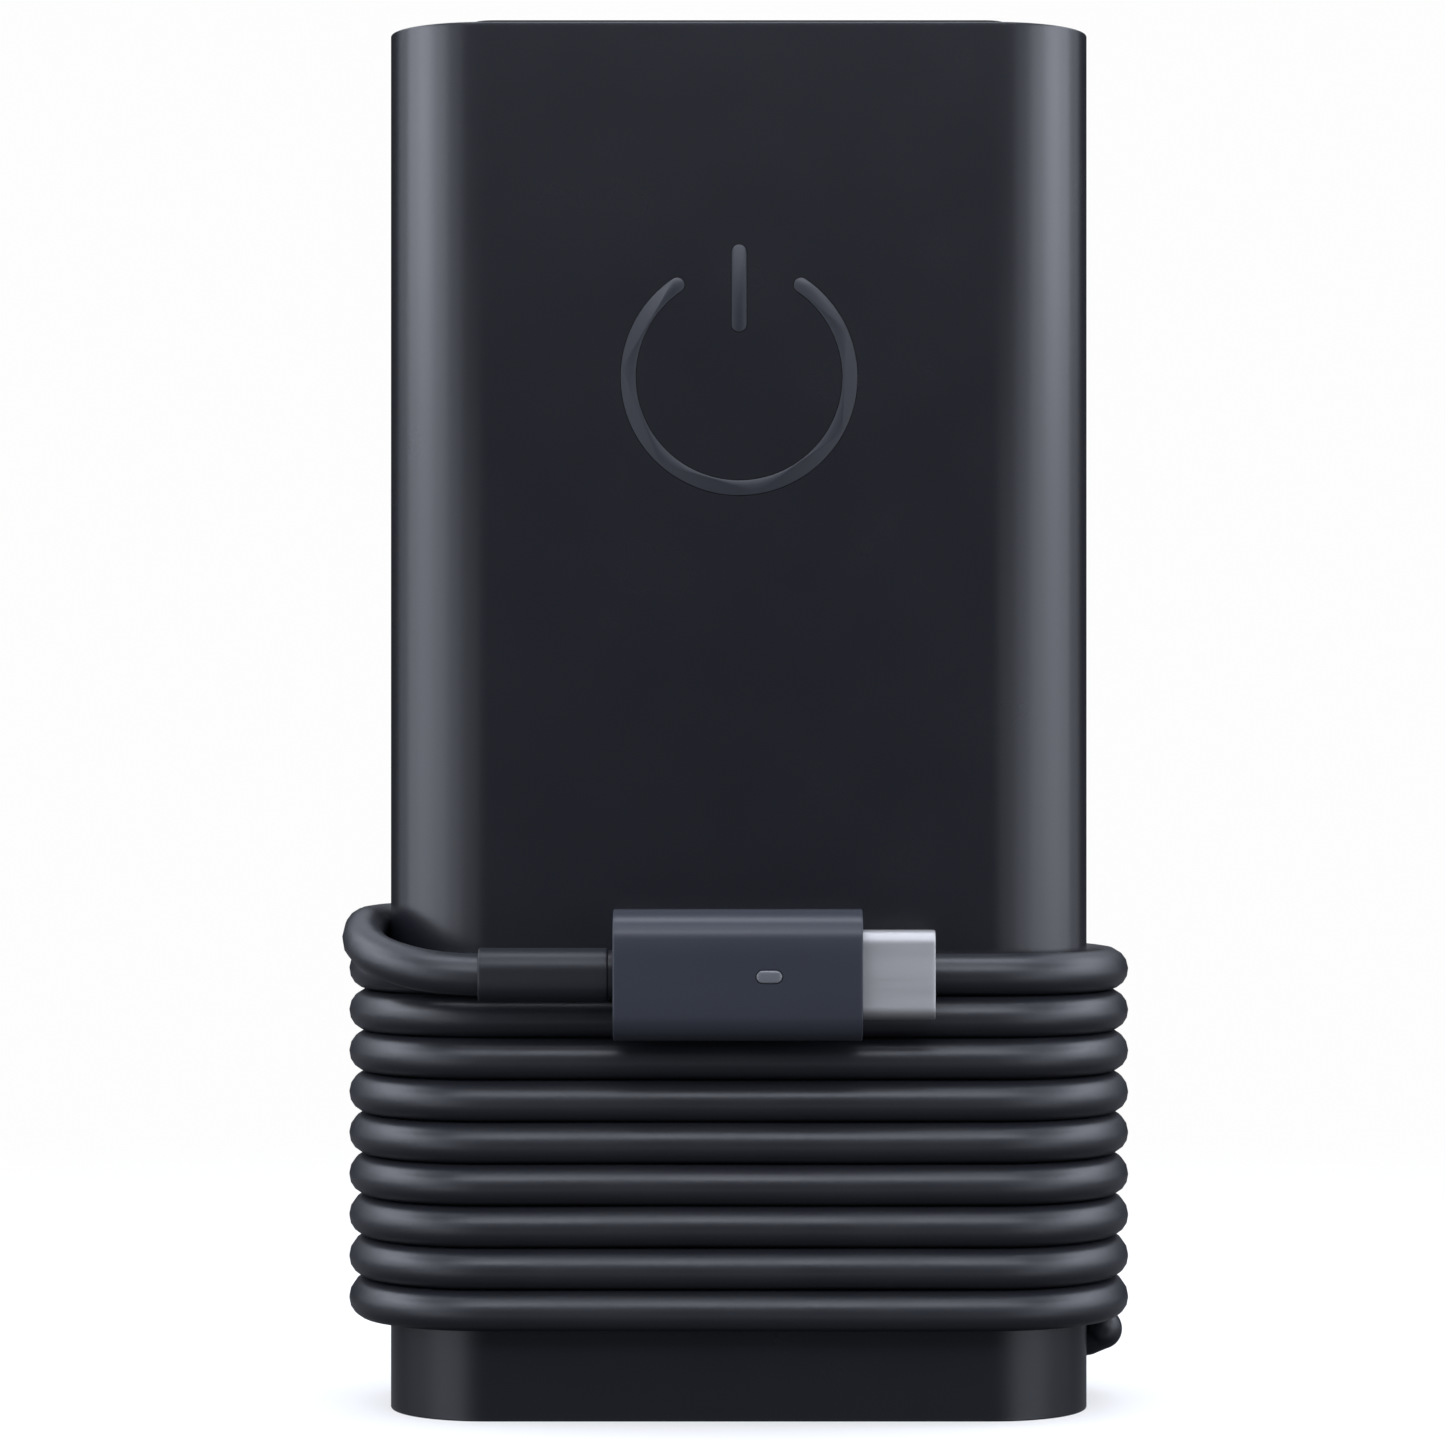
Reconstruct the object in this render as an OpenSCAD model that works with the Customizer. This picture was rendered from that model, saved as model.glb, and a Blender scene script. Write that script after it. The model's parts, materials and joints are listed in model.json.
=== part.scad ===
// A slim laptop power adapter that stands on its lower end, with its output cord wound round it.
// Z is up, the front faces -Y, and the origin is at the middle of the foot of the body.

/* [Body] */
// Width of the body
body_w = 66; // [65:0.5:68]
// Depth of the body, front to back
body_d = 22; // [22:0.1:22.6]
// Height of the body
body_h = 130; // [128:1:134]
// Radius of the rounded narrow sides
side_r = 9.5; // [9:0.25:9.5]
// Thickness of the moulded walls
wall = 1.8; // [1.6:0.1:1.8]
// Chamfer where the walls meet the two ends
end_chamfer = 0.6; // [0.3:0.1:0.8]

/* [Inlet end] */
// Width of the end plate that holds the mains inlet
plate_w = 50; // [44:1:50]
// Depth of the end plate
plate_d = 16; // [15.6:0.2:16.4]
// How far the end plate stands above the shells
plate_proud = 0.6; // [0.2:0.1:1]
// Corner radius of the end plate
plate_r = 2; // [1:0.5:4]
// Radius of each lobe of the three-lobed socket
lobe_r = 4.3; // [4.1:0.1:4.4]
// Distance of the line and neutral pins from the middle
pin_x = 5; // [4.8:0.1:5.2]
// Distance of the earth pin from the line through the other two
earth_y = 4.5; // [4.3:0.1:4.6]
// Diameter of the mains pins
pin_d = 2.4; // [2.2:0.1:2.5]
// Depth of the socket below the end plate's face
socket_depth = 13.6; // [13:0.2:14]

/* [Emblem and label] */
// Diameter of the power symbol on the front
emblem_d = 22; // [16:1:26]
// Width of the symbol's strokes
emblem_stroke = 1.4; // [1:0.1:2]
// Height of the symbol's centre above the foot
emblem_z = 97; // [90:1:105]
// Width of the blank label on the back
label_w = 36; // [30:1:40]
// Height of the blank label
label_h = 58; // [40:1:62]
// Height of the label's lower edge above the foot
label_z = 58; // [54:1:60]

/* [Cord] */
// Diameter of the output cord
cord_d = 3.86; // [3.7:0.02:3.86]
// Number of turns wound round the body
turns = 9; // [9:1:9]
// Distance from one turn to the next
pitch = 3.88; // [3.87:0.01:3.9]
// Height of the first turn's centre above the foot
first_turn_z = 10.6; // [10.5:0.05:10.65]
// Gap between the body and the winding
winding_gap = 0.1; // [0.05:0.05:0.15]

/* [Plug] */
// Length of the moulded grip
grip_l = 22.7; // [20:0.1:23]
// Height of the grip
grip_h = 12; // [11:0.2:12.4]
// Thickness of the grip
grip_t = 6.5; // [6.2:0.1:6.5]
// Radius of the grip's long edges
grip_r = 2.9; // [1:0.1:2.9]
// Length of the metal sleeve outside the grip
sleeve_l = 6.65; // [6.2:0.05:6.8]
// Width of the metal sleeve
sleeve_w = 8.25; // [8.2:0.01:8.3]
// Thickness of the metal sleeve
sleeve_t = 2.4; // [2.35:0.01:2.45]
// Height of the plug's strain relief
boot_h = 4.9; // [4.5:0.1:5.2]
// Thickness of the plug's strain relief
boot_t = 4.4; // [4.2:0.1:5]

/* [Hidden] */
$fn = 96;

// Numbers that follow from the sizes above
flat_x = body_w / 2 - side_r;            // half width of the flat front face
flat_y = body_d / 2 - side_r;            // half depth of the flat strip on each side
inner_x = body_w / 2 - wall;
inner_y = body_d / 2 - wall;
plate_z = body_h + plate_proud;
socket_y = -earth_y / 2;                 // line and neutral pins, so that the socket is centred
socket_floor = plate_z - socket_depth;
flange_z = body_h - wall;                // underside of the end walls
flange_t = 1.6;
housing_top = flange_z - flange_t;
housing_z = socket_floor - 2.2;
pin_tip = plate_z - 3;
pin_shoulder_d = pin_d + 0.6;
pin_end_z = housing_z - 2.8;             // where the wires are soldered to the pins
gap = 0.05;                              // fitting gap between moulded parts
emblem_depth = 0.3;
label_depth = 0.2;

// The tongue on the back shell's rim and the slot that the cord's gland drops into
tongue_t = 0.8;
tongue_h = 1.2;
gland_y = 4.9;
gland_z = 5.4;
gland_neck_r = 1.7;
gland_neck_end = 34.4;
gland_knuckle_r = 2;
gland_knuckle_z = 6.5;
gland_arc_r = side_r + 2.1;
gland_tube_r = 1.98;
gland_knuckle_x = flat_x + sqrt(pow(gland_arc_r, 2) - pow(gland_y - flat_y, 2));
gland_end_x = 15.5;
gland_run_y = flat_y + gland_arc_r;

// The board divides the inside: tall parts in front of it, chips behind it
board_y = 4.2;
board_t = 1.6;
board_w = 56;
board_z = 12;
board_top = housing_z - 3.6;
board_back = board_y + board_t;
post_levels = [24, 62, 98];
post_w = 6;
front_limit = -7.9;
chip_face = board_back + 1.4;
sheet_inner = inner_y - 0.8;             // inner face of the insulating sheets
spreader_inner = inner_y - 0.5;          // inner face of the heat spreaders
sheet_t = 0.25;
spreader_t = 0.4;
can_r = 7.2;
can_l = 38;
can_x = 19;
can_y = -0.6;
can_z = 38;
core_x = -10;
core_z = 52;
core_w = 28;
core_h = 24;
core_plate = 2.5;
post_r = 4.5;
choke_x = -17;
choke_z = 85.5;
choke_y = -1.2;

// Winding and plug
cord_r = cord_d / 2;
winding_in = winding_gap;
winding_out = winding_gap + cord_d;
winding_low = first_turn_z - cord_r;
winding_high = first_turn_z + (turns - 1) * pitch + cord_r;
plug_y = -18.3;
plug_z = 41.9;
grip_x = -11.5;
grip_end = grip_x + grip_l;
sleeve_end = grip_end + sleeve_l;
sleeve_x = 7;
sleeve_seat_x = 8;                       // where the grip starts to hold the sleeve
sleeve_wall = 0.3;
boot_x = -23.8;
boot_r = 1.9;
lens_x = 2.7;
lens_z = 41.9;
lens_w = 2.4;
lens_h = 1.2;
plug_board_x0 = -6;
plug_board_t = 0.8;
plug_board_h = 8.4;
lamp_front = plug_y - 1;

// The cord's route from the gland to the winding, across the back
LEAD = [
    [15.5, 13, 6.5],
    [8, 13, 6.9],
    [0, 13, 7.8],
    [-8, 13, 8.9],
    [-16, 13, 9.9],
    [-23.5, 13, 10.6]
];
// The cord's route from the winding to the plug: across the back, round the left side and over the front
END = [
    [23.5, 13, 41.7],
    [12, 13, 42.6],
    [0, 13, 43.7],
    [-12, 13, 44.9],
    [-23.5, 13, 45.5],
    [-27.9, 12.2, 45.5],
    [-31.7, 9.7, 45.5],
    [-34.1, 5.9, 45.5],
    [-35, 1.5, 45.5],
    [-35.1, -2, 45.5],
    [-35.1, -5.8, 45.3],
    [-34.9, -10.4, 44.3],
    [-33.2, -13.8, 43.4],
    [-30.5, -16.4, 42.6],
    [-27.4, -17.9, 42.1],
    [-23.8, -18.3, 41.9]
];

// ---------------------------------------------------------------- helpers

// Rounded rectangle, centred, made of true arcs
module rounded(w, h, r) {
    square([w - 2 * r, h], center = true);
    square([w, h - 2 * r], center = true);
    for (x = [-1, 1], y = [-1, 1])
        translate([x * (w / 2 - r), y * (h / 2 - r)])
            circle(r);
}

// Outline of the body, moved inwards by inset
module body_outline(inset = 0) {
    rounded(body_w - 2 * inset, body_d - 2 * inset, side_r - inset);
}

// The half of a flat outline that lies in front of (side = -1) or behind (side = 1) the parting line
module half(side) {
    intersection() {
        children();
        translate([0, side * body_d])
            square([2 * body_w, 2 * body_d], center = true);
    }
}

// Block given by its lowest and highest corners
module block(low, high) {
    translate(low)
        cube(high - low);
}

// Cylinder along Y, from y0 to y1, at x and z
module rod_y(x, z, y0, y1, r) {
    translate([x, y1, z])
        rotate([90, 0, 0])
            cylinder(r = r, h = y1 - y0);
}

// Cylinder along X, from x0 to x1, at y and z
module rod_x(x0, x1, y, z, r) {
    translate([x0, y, z])
        rotate([0, 90, 0])
            cylinder(r = r, h = x1 - x0);
}

// Flat outline in the XZ plane given a thickness towards -Y from y1
module plate_y(y1, t) {
    translate([0, y1, 0])
        rotate([90, 0, 0])
            linear_extrude(t)
                children();
}

// Ring of chamfer cutters round one end of the body
module end_cutter(z, up) {
    c = end_chamfer;
    for (sx = [0, 1], sy = [0, 1])
        mirror([sx, 0, 0])
            mirror([0, sy, 0])
                translate([flat_x, flat_y, z])
                    mirror([0, 0, up ? 0 : 1])
                        rotate_extrude(angle = 90)
                            polygon([[side_r - c, 0.01], [side_r + 1, 0.01], [side_r + 1, -c - 1],
                                [side_r, -c]]);
    for (sy = [0, 1])
        mirror([0, sy, 0])
            translate([-flat_x, flat_y, z])
                mirror([0, 0, up ? 0 : 1])
                    rotate([90, 0, 90])
                        linear_extrude(2 * flat_x)
                            polygon([[side_r - c, 0.01], [side_r + 1, 0.01], [side_r + 1, -c - 1],
                                [side_r, -c]]);
    for (sx = [0, 1])
        mirror([sx, 0, 0])
            translate([flat_x, flat_y, z])
                mirror([0, 0, up ? 0 : 1])
                    rotate([90, 0, 0])
                        linear_extrude(2 * flat_y)
                            polygon([[side_r - c, 0.01], [side_r + 1, 0.01], [side_r + 1, -c - 1],
                                [side_r, -c]]);
}

// Unit vector along v
function unit(v) = v / norm(v);

// Direction of a route at its point i
function heading(p, i) = unit(p[min(i + 1, len(p) - 1)] - p[max(i - 1, 0)]);

// Part of s that is square to t, as a unit vector
function square_to(s, t) = unit(s - (s * t) * t);

// Sideways directions at every point of a route, carried along it without twisting
function carried(p, s, i = 0) =
    i == len(p) ? [] :
    let (n = square_to(s, heading(p, i)))
    concat([n], carried(p, n, i + 1));

// Tube of radius r along a route, starting with the sideways direction s
module tube(p, r, s = [0, 0, 1], sides = 8) {
    n = carried(p, s);
    ring = [for (k = [0 : sides - 1]) (k + 0.5) * 360 / sides];
    points = [
        for (i = [0 : len(p) - 1])
            let (t = heading(p, i), b = cross(t, n[i]))
            for (a = ring) p[i] + r * (cos(a) * n[i] + sin(a) * b)
    ];
    walls = [
        for (i = [0 : len(p) - 2], k = [0 : sides - 1])
            let (a = i * sides + k, b = i * sides + (k + 1) % sides)
            [a, a + sides, b + sides, b]
    ];
    last = (len(p) - 1) * sides;
    first_cap = [for (k = [0 : sides - 1]) k];
    last_cap = [for (k = [sides - 1 : -1 : 0]) last + k];
    polyhedron(points, concat(walls, [first_cap, last_cap]));
}

// ---------------------------------------------------------------- shells

// One half of the casing, open at its parting line and at the inlet end
module shell_half(side) {
    difference() {
        linear_extrude(body_h)
            half(side)
                body_outline();
        translate([0, 0, wall])
            linear_extrude(body_h - 2 * wall)
                body_outline(wall);
        translate([0, 0, flange_z - 1])
            linear_extrude(wall + 2)
                rounded(plate_w + 2 * gap, plate_d + 2 * gap, plate_r);
        end_cutter(body_h, true);
        end_cutter(0, false);
    }
}

// Posts that hold the board's edges, from the wall to the height y1
module board_posts(x0, x1, y0, y1) {
    for (side = [-1, 1], z = post_levels)
        block([side > 0 ? x0 : -x1, y0, z], [side > 0 ? x1 : -x0, y1, z + post_w]);
}

// Upstanding tongue along both sides and the foot; grow makes the slot for it
module rim_tongue(grow = 0) {
    h = tongue_h + grow;
    t = tongue_t + grow;
    for (side = [-1, 1])
        block([side > 0 ? inner_x : -inner_x - t, -h, wall + 10], [side > 0 ? inner_x + t : -inner_x, 0.01,
            flange_z - 1 + grow]);
    block([-flat_x, -h, wall - t], [flat_x, 0.01, wall]);
}

module front_shell() {
    color([0.14, 0.15, 0.18]) {
        difference() {
            union() {
                shell_half(-1);
                board_posts(28.4, 30.4, -6.8, board_y);
                // Tab that closes the mouth of the gland's slot
                block([inner_x - 0.4, -2, gland_z - gland_neck_r], [inner_x + 1, gland_y - gland_neck_r - 0.3,
                    gland_z + gland_neck_r]);
            }
            rim_tongue(gap);
            plate_y(-body_d / 2 + emblem_depth, 1)
                translate([0, emblem_z])
                    emblem_outline(gap);
        }
    }
}

module back_shell() {
    color([0.13, 0.14, 0.17]) {
        difference() {
            union() {
                shell_half(1);
                difference() {
                    board_posts(27.2, 30.2, board_back, 7.4);
                    // Keeps the posts inside the outer face
                    linear_extrude(body_h)
                        difference() {
                            square([2 * body_w, 2 * body_d], center = true);
                            body_outline(wall / 2);
                        }
                }
            }
            // Slot for the cord's gland, open towards the parting line
            rod_x(inner_x - 6, inner_x + 6, gland_y, gland_z, gland_neck_r + gap);
            block([inner_x - 6, -1, gland_z - gland_neck_r - gap], [inner_x + 6, gland_y,
                gland_z + gland_neck_r + gap]);
            block([-label_w / 2 - gap, body_d / 2 - label_depth, label_z - gap], [label_w / 2 + gap,
                body_d / 2 + 1, label_z + label_h + gap]);
        }
        rim_tongue();
    }
}

// Power symbol: a ring with a gap at the top and a bar standing in the gap
module emblem_outline(grow = 0) {
    r = emblem_d / 2;
    difference() {
        circle(r + grow);
        circle(r - emblem_stroke - grow);
        polygon([[0, 0], [-r, 1.7 * r], [r, 1.7 * r]]);
    }
    translate([0, 0.75 * r])
        square([emblem_stroke + 2 * grow, 0.8 * r + 2 * grow], center = true);
}

module front_emblem() {
    color([0.27, 0.28, 0.31])
        plate_y(-body_d / 2 + emblem_depth, emblem_depth)
            translate([0, emblem_z])
                emblem_outline();
}

module rating_label() {
    color([0.1, 0.1, 0.11])
        block([-label_w / 2, body_d / 2 - label_depth, label_z], [label_w / 2, body_d / 2,
            label_z + label_h]);
}

// ---------------------------------------------------------------- mains inlet

// Three-lobed outline of the socket
module socket_outline(grow = 0) {
    translate([0, socket_y])
        square([2 * pin_x, 2 * (lobe_r + grow)], center = true);
    for (x = [-pin_x, pin_x])
        translate([x, socket_y])
            circle(lobe_r + grow);
    translate([0, socket_y + earth_y])
        circle(lobe_r + grow);
}

module inlet_end_cap() {
    color([0.08, 0.08, 0.09])
        difference() {
            union() {
                translate([0, 0, flange_z])
                    linear_extrude(plate_z - flange_z)
                        rounded(plate_w, plate_d, plate_r);
                translate([0, 0, housing_top])
                    linear_extrude(flange_t)
                        rounded(plate_w + 3, 2 * inner_y - 0.6, plate_r);
            }
            translate([0, 0, housing_top - 1])
                linear_extrude(plate_z - housing_top + 2)
                    socket_outline();
        }
}

module inlet_housing() {
    color([0.06, 0.06, 0.07])
        difference() {
            translate([0, 0, housing_z])
                linear_extrude(housing_top - housing_z)
                    rounded(2 * (pin_x + lobe_r) + 3, 2 * lobe_r + earth_y + 2.6, 3);
            translate([0, 0, socket_floor])
                linear_extrude(housing_top)
                    socket_outline();
            for (x = [-pin_x, pin_x])
                translate([x, socket_y, housing_z - 1])
                    cylinder(d = pin_shoulder_d, h = socket_floor - housing_z + 2);
            translate([0, socket_y + earth_y, housing_z - 1])
                cylinder(d = pin_shoulder_d, h = socket_floor - housing_z + 2);
        }
}

// Mains pin: a shoulder in the socket's floor, a round pin and a blunt tip
module mains_pin(x, y) {
    color([0.8, 0.78, 0.72])
        translate([x, y, 0]) {
            translate([0, 0, pin_end_z])
                cylinder(d = pin_shoulder_d, h = socket_floor - pin_end_z);
            translate([0, 0, socket_floor])
                cylinder(d = pin_d, h = pin_tip - 0.6 - socket_floor);
            translate([0, 0, pin_tip - 0.6])
                cylinder(d1 = pin_d, d2 = pin_d - 1, h = 0.6);
        }
}

module line_pin() {
    mains_pin(pin_x, socket_y);
}

module neutral_pin() {
    mains_pin(-pin_x, socket_y);
}

module earth_pin() {
    mains_pin(0, socket_y + earth_y);
}

module inlet_wires() {
    z = pin_end_z;
    for (side = [-1, 1])
        color(side > 0 ? [0.45, 0.25, 0.12] : [0.15, 0.3, 0.7])
            tube([[side * pin_x, socket_y, z], [side * pin_x, socket_y, z - 1.6],
                [side * (pin_x + 0.6), socket_y + 1.6, z - 3.4], [side * (pin_x + 1), board_y - 1.6, z - 5],
                [side * (pin_x + 1), board_y, z - 5.2]], 0.8, [1, 0, 0]);
    color([0.3, 0.6, 0.2])
        tube([[0, socket_y + earth_y, z], [0, socket_y + earth_y, z - 1], [0, board_y - 1, z - 3],
            [0, board_y, z - 3.2]], 0.8, [1, 0, 0]);
}

// ---------------------------------------------------------------- electronics

module main_board() {
    color([0.1, 0.35, 0.16])
        difference() {
            block([-board_w / 2, board_y, board_z], [board_w / 2, board_back, board_top]);
            block([can_x - can_r - 0.4, board_y - 1, can_z - 0.4], [can_x + can_r + 0.4, board_back + 1,
                can_z + can_l + 0.4]);
            for (z = [18, 100], x = [-24, 24])
                rod_y(x, z, board_y - 1, board_back + 1, 1.1);
        }
}

module mains_fuse() {
    color([0.12, 0.12, 0.13])
        block([11, board_y - 7.7, 94], [19.4, board_y, 98]);
}

module surge_varistor() {
    color([0.15, 0.35, 0.6])
        translate([-18, -1.8, 102])
            cylinder(r = 5.8, h = 4.5);
}

module inrush_thermistor() {
    color([0.2, 0.24, 0.2])
        translate([17, -0.4, 102])
            cylinder(r = 4.4, h = 4);
}

module x_capacitor() {
    color([0.75, 0.6, 0.15])
        block([-9, board_y - 11.6, 94], [9, board_y, 102]);
}

// Toroid with two windings, its axis along Y
module choke_core() {
    color([0.25, 0.3, 0.25])
        translate([choke_x, choke_y, choke_z])
            rotate([90, 0, 0])
                rotate_extrude()
                    translate([6.4, 0])
                        square([4.4, 7], center = true);
}

module choke_windings() {
    color([0.72, 0.4, 0.18])
        translate([choke_x, choke_y, choke_z])
            rotate([90, 0, 0])
                for (start = [30, 210])
                    rotate([0, 0, start])
                        rotate_extrude(angle = 120)
                            translate([6.4, 0])
                                difference() {
                                    square([6.4, 9], center = true);
                                    square([4.5, 7.1], center = true);
                                }
}

module y_capacitors() {
    color([0.2, 0.4, 0.7])
        for (z = [74, 84])
            translate([-1.5, 0, z])
                cylinder(r = 3.8, h = 3.4);
}

module bridge_rectifier() {
    color([0.09, 0.09, 0.1])
        difference() {
            block([8, board_y - 3.6, 79], [23, board_y, 90]);
            rod_y(15.5, 87, board_y - 5, board_y + 1, 1.5);
        }
}

module bulk_capacitor() {
    color([0.1, 0.12, 0.2])
        translate([can_x, can_y, can_z])
            difference() {
                cylinder(r = can_r, h = can_l);
                translate([0, 0, can_l - 0.5])
                    cylinder(r = can_r - 1, h = 1);
                // Crimp near the lead end
                translate([0, 0, 3])
                    rotate_extrude()
                        translate([can_r + 0.2, 0])
                            circle(0.8);
            }
}

module primary_transistor() {
    color([0.08, 0.08, 0.08])
        difference() {
            block([-24, board_y - 4.5, 66], [-9, board_y, 74]);
            rod_y(-21.5, 70, board_y - 6, board_y + 1, 1.6);
        }
}

module primary_heatsink() {
    color([0.78, 0.79, 0.8]) {
        block([-25, board_y - 6, 65.5], [-4, board_y - 4.55, 74.5]);
        block([-5.5, board_y - 10, 65.5], [-4, board_y - 6, 74.5]);
    }
}

module transformer_core() {
    low = front_limit;
    high = low + 12;
    color([0.2, 0.2, 0.21]) {
        difference() {
            block([core_x - core_w / 2, low, core_z - core_h / 2], [core_x + core_w / 2, high,
                core_z + core_h / 2]);
            block([core_x - core_w / 2 + 3, low + core_plate, core_z - core_h], [core_x + core_w / 2 - 3,
                high - core_plate, core_z + core_h]);
        }
        rod_y(core_x, core_z, low + core_plate - 0.1, high - core_plate + 0.1, post_r);
    }
}

module transformer_bobbin() {
    color([0.85, 0.84, 0.78])
        translate([core_x, front_limit + 6, core_z])
            rotate([90, 0, 0])
                rotate_extrude()
                    polygon([[post_r + 0.1, -3.4], [10.6, -3.4], [10.6, -2.7], [post_r + 1, -2.7],
                        [post_r + 1, 2.7], [10.6, 2.7], [10.6, 3.4], [post_r + 0.1, 3.4]]);
}

module transformer_winding() {
    color([0.9, 0.75, 0.2])
        translate([core_x, front_limit + 6, core_z])
            rotate([90, 0, 0])
                rotate_extrude()
                    polygon([[post_r + 1.05, -2.65], [10.2, -2.65], [10.2, 2.65], [post_r + 1.05, 2.65]]);
}

// Small chip on the back of the board, with its legs
module chip(x, z, w, h, legs) {
    block([x - w / 2, board_back + 0.1, z - h / 2], [x + w / 2, chip_face, z + h / 2]);
    for (side = [-1, 1], k = [0 : legs - 1])
        translate([x + (k - (legs - 1) / 2) * 1.27, board_back + 0.2, z + side * (h / 2 + 0.4)])
            cube([0.45, 0.4, 0.9], center = true);
}

module primary_controller() {
    color([0.07, 0.07, 0.08])
        chip(-10, 84, 9.6, 4, 7);
}

module optocoupler() {
    color([0.92, 0.92, 0.9])
        chip(-2, 36, 4.6, 4, 2);
}

module rectifier_transistor() {
    color([0.08, 0.08, 0.09])
        chip(-16, 34, 6, 5, 4);
}

module charge_controller() {
    color([0.07, 0.07, 0.08])
        chip(8, 24, 7, 6, 5);
}

module secondary_heatsink() {
    color([0.78, 0.79, 0.8]) {
        block([-26, board_y - 9, 26], [-24.5, board_y, 38]);
        block([-24.5, board_y - 9, 26], [-21, board_y - 7.6, 38]);
    }
}

module output_inductor() {
    color([0.22, 0.22, 0.24])
        translate([-13, board_y, 31])
            rotate([90, 0, 0]) {
                cylinder(r = 6, h = 1);
                translate([0, 0, 1])
                    cylinder(r = 5, h = 7);
                translate([0, 0, 8])
                    cylinder(r = 6, h = 1);
            }
}

module output_capacitors() {
    color([0.75, 0.76, 0.78])
        for (p = [[-1, 30], [8, 30], [8, 20]])
            rod_y(p[0], p[1], front_limit, board_y, 4);
}

module chip_components() {
    color([0.55, 0.45, 0.35]) {
        for (i = [0 : 5], j = [0 : 1])
            translate([-22 + 6 * i, board_back + 0.4, 46 + 8 * j])
                cube([2, 0.8, 1.25], center = true);
        for (i = [0 : 4])
            translate([-20 + 4 * i, board_back + 0.4, 95])
                cube([3.2, 0.8, 1.6], center = true);
        for (i = [0 : 3])
            translate([18 + 2 * i, board_back + 0.4, 24])
                cube([1, 0.8, 2], center = true);
    }
}

module thermal_pads() {
    color([0.6, 0.62, 0.66]) {
        block([core_x - 12, -sheet_inner, core_z - 11], [core_x + 12, front_limit, core_z + 11]);
        block([-20, chip_face, 30], [-12, sheet_inner, 38]);
        block([4, chip_face, 20.5], [12, sheet_inner, 27.5]);
    }
}

module insulating_sheet(y1) {
    color([0.85, 0.82, 0.7, 0.8])
        block([-25, y1 - sheet_t, board_z], [25, y1, board_top]);
}

module front_insulator() {
    insulating_sheet(-sheet_inner);
}

module back_insulator() {
    insulating_sheet(sheet_inner + sheet_t);
}

module heat_spreader(y1) {
    color([0.8, 0.8, 0.82])
        difference() {
            block([-24, y1 - spreader_t, 14], [24, y1, 108]);
            for (x = [-20, 20], z = [18, 104])
                rod_y(x, z, y1 - 1, y1 + 1, 1.5);
        }
}

module front_heat_spreader() {
    heat_spreader(-spreader_inner);
}

module back_heat_spreader() {
    heat_spreader(spreader_inner + spreader_t);
}

// Four cores of the cord, from the gland's inner end to the board's lower edge
module output_wires() {
    colours = [[0.7, 0.1, 0.1], [0.05, 0.05, 0.05], [0.1, 0.3, 0.7], [0.85, 0.85, 0.85]];
    for (i = [0 : 3])
        let (x = 8 + 3 * i, z = 3.9 + 1.05 * i)
            color(colours[i])
                tube([[27.4, 4.4, z], [24, 3.2, z], [x + 1.2, 2.6, z], [x, 2.6, z + 1.4], [x, 2.8, 12.6],
                    [x, board_y, 14.2]], 0.5, [0, 1, 0], 6);
}

// ---------------------------------------------------------------- cord

module cord_gland() {
    color([0.1, 0.1, 0.11])
        union() {
            // Anchor plate inside the wall, and the neck through it
            block([27.4, gland_y - 2.8, gland_z - 2.6], [28.8, gland_y + 2, gland_z + 2.6]);
            rod_x(28.7, gland_neck_end, gland_y, gland_z, gland_neck_r - 0.05);
            translate([gland_knuckle_x, gland_y, gland_knuckle_z])
                sphere(gland_knuckle_r);
            // Sleeve that bends the cord round the back corner
            translate([flat_x, flat_y, gland_knuckle_z])
                rotate([0, 0, asin((gland_y - flat_y) / gland_arc_r)])
                    rotate_extrude(angle = 90 - asin((gland_y - flat_y) / gland_arc_r))
                        translate([gland_arc_r, 0])
                            circle(gland_tube_r);
            rod_x(gland_end_x, flat_x + 0.4, gland_run_y, gland_knuckle_z, gland_tube_r - 0.03);
        }
}

module cord_lead() {
    color([0.16, 0.17, 0.19])
        tube(LEAD, cord_r);
}

module cord_end() {
    color([0.16, 0.17, 0.19])
        tube(END, cord_r);
}

// Section of the winding: its outer edges are as round as the cord
module winding_section(base) {
    low = winding_low + cord_r;
    high = winding_high - cord_r;
    translate([base + winding_in, winding_low])
        square([cord_r, winding_high - winding_low]);
    translate([base + winding_in, low])
        square([cord_d, high - low]);
    for (z = [low, high])
        translate([base + winding_in + cord_r, z])
            circle(cord_r);
}

// Band round the body as thick as the cord, stepped where the first and last turns cross the back
module cord_winding() {
    rise = pitch;
    far = body_d / 2 + winding_out + 1;
    color([0.16, 0.17, 0.19])
        difference() {
            union() {
                for (sx = [0, 1], sy = [0, 1])
                    mirror([sx, 0, 0])
                        mirror([0, sy, 0])
                            translate([flat_x, flat_y, 0])
                                rotate_extrude(angle = 90)
                                    winding_section(side_r);
                for (sy = [0, 1])
                    mirror([0, sy, 0])
                        translate([-flat_x, flat_y, 0])
                            rotate([90, 0, 90])
                                linear_extrude(2 * flat_x)
                                    winding_section(side_r);
                for (sx = [0, 1])
                    mirror([sx, 0, 0])
                        translate([flat_x, flat_y, 0])
                            rotate([90, 0, 0])
                                linear_extrude(2 * flat_y)
                                    winding_section(side_r);
            }
            // Room for the lead under the turns that climb across the back
            plate_y(far, far - body_d / 2 + 1)
                polygon([[flat_x, winding_low - 1], [flat_x, winding_low], [-flat_x, winding_low + rise],
                    [-flat_x, winding_low - 1]]);
            // Room for the last crossing above them
            plate_y(far, far - body_d / 2 + 1)
                polygon([[flat_x, winding_high - rise], [flat_x, winding_high + 1],
                    [-flat_x, winding_high + 1], [-flat_x, winding_high]]);
        }
}

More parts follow.
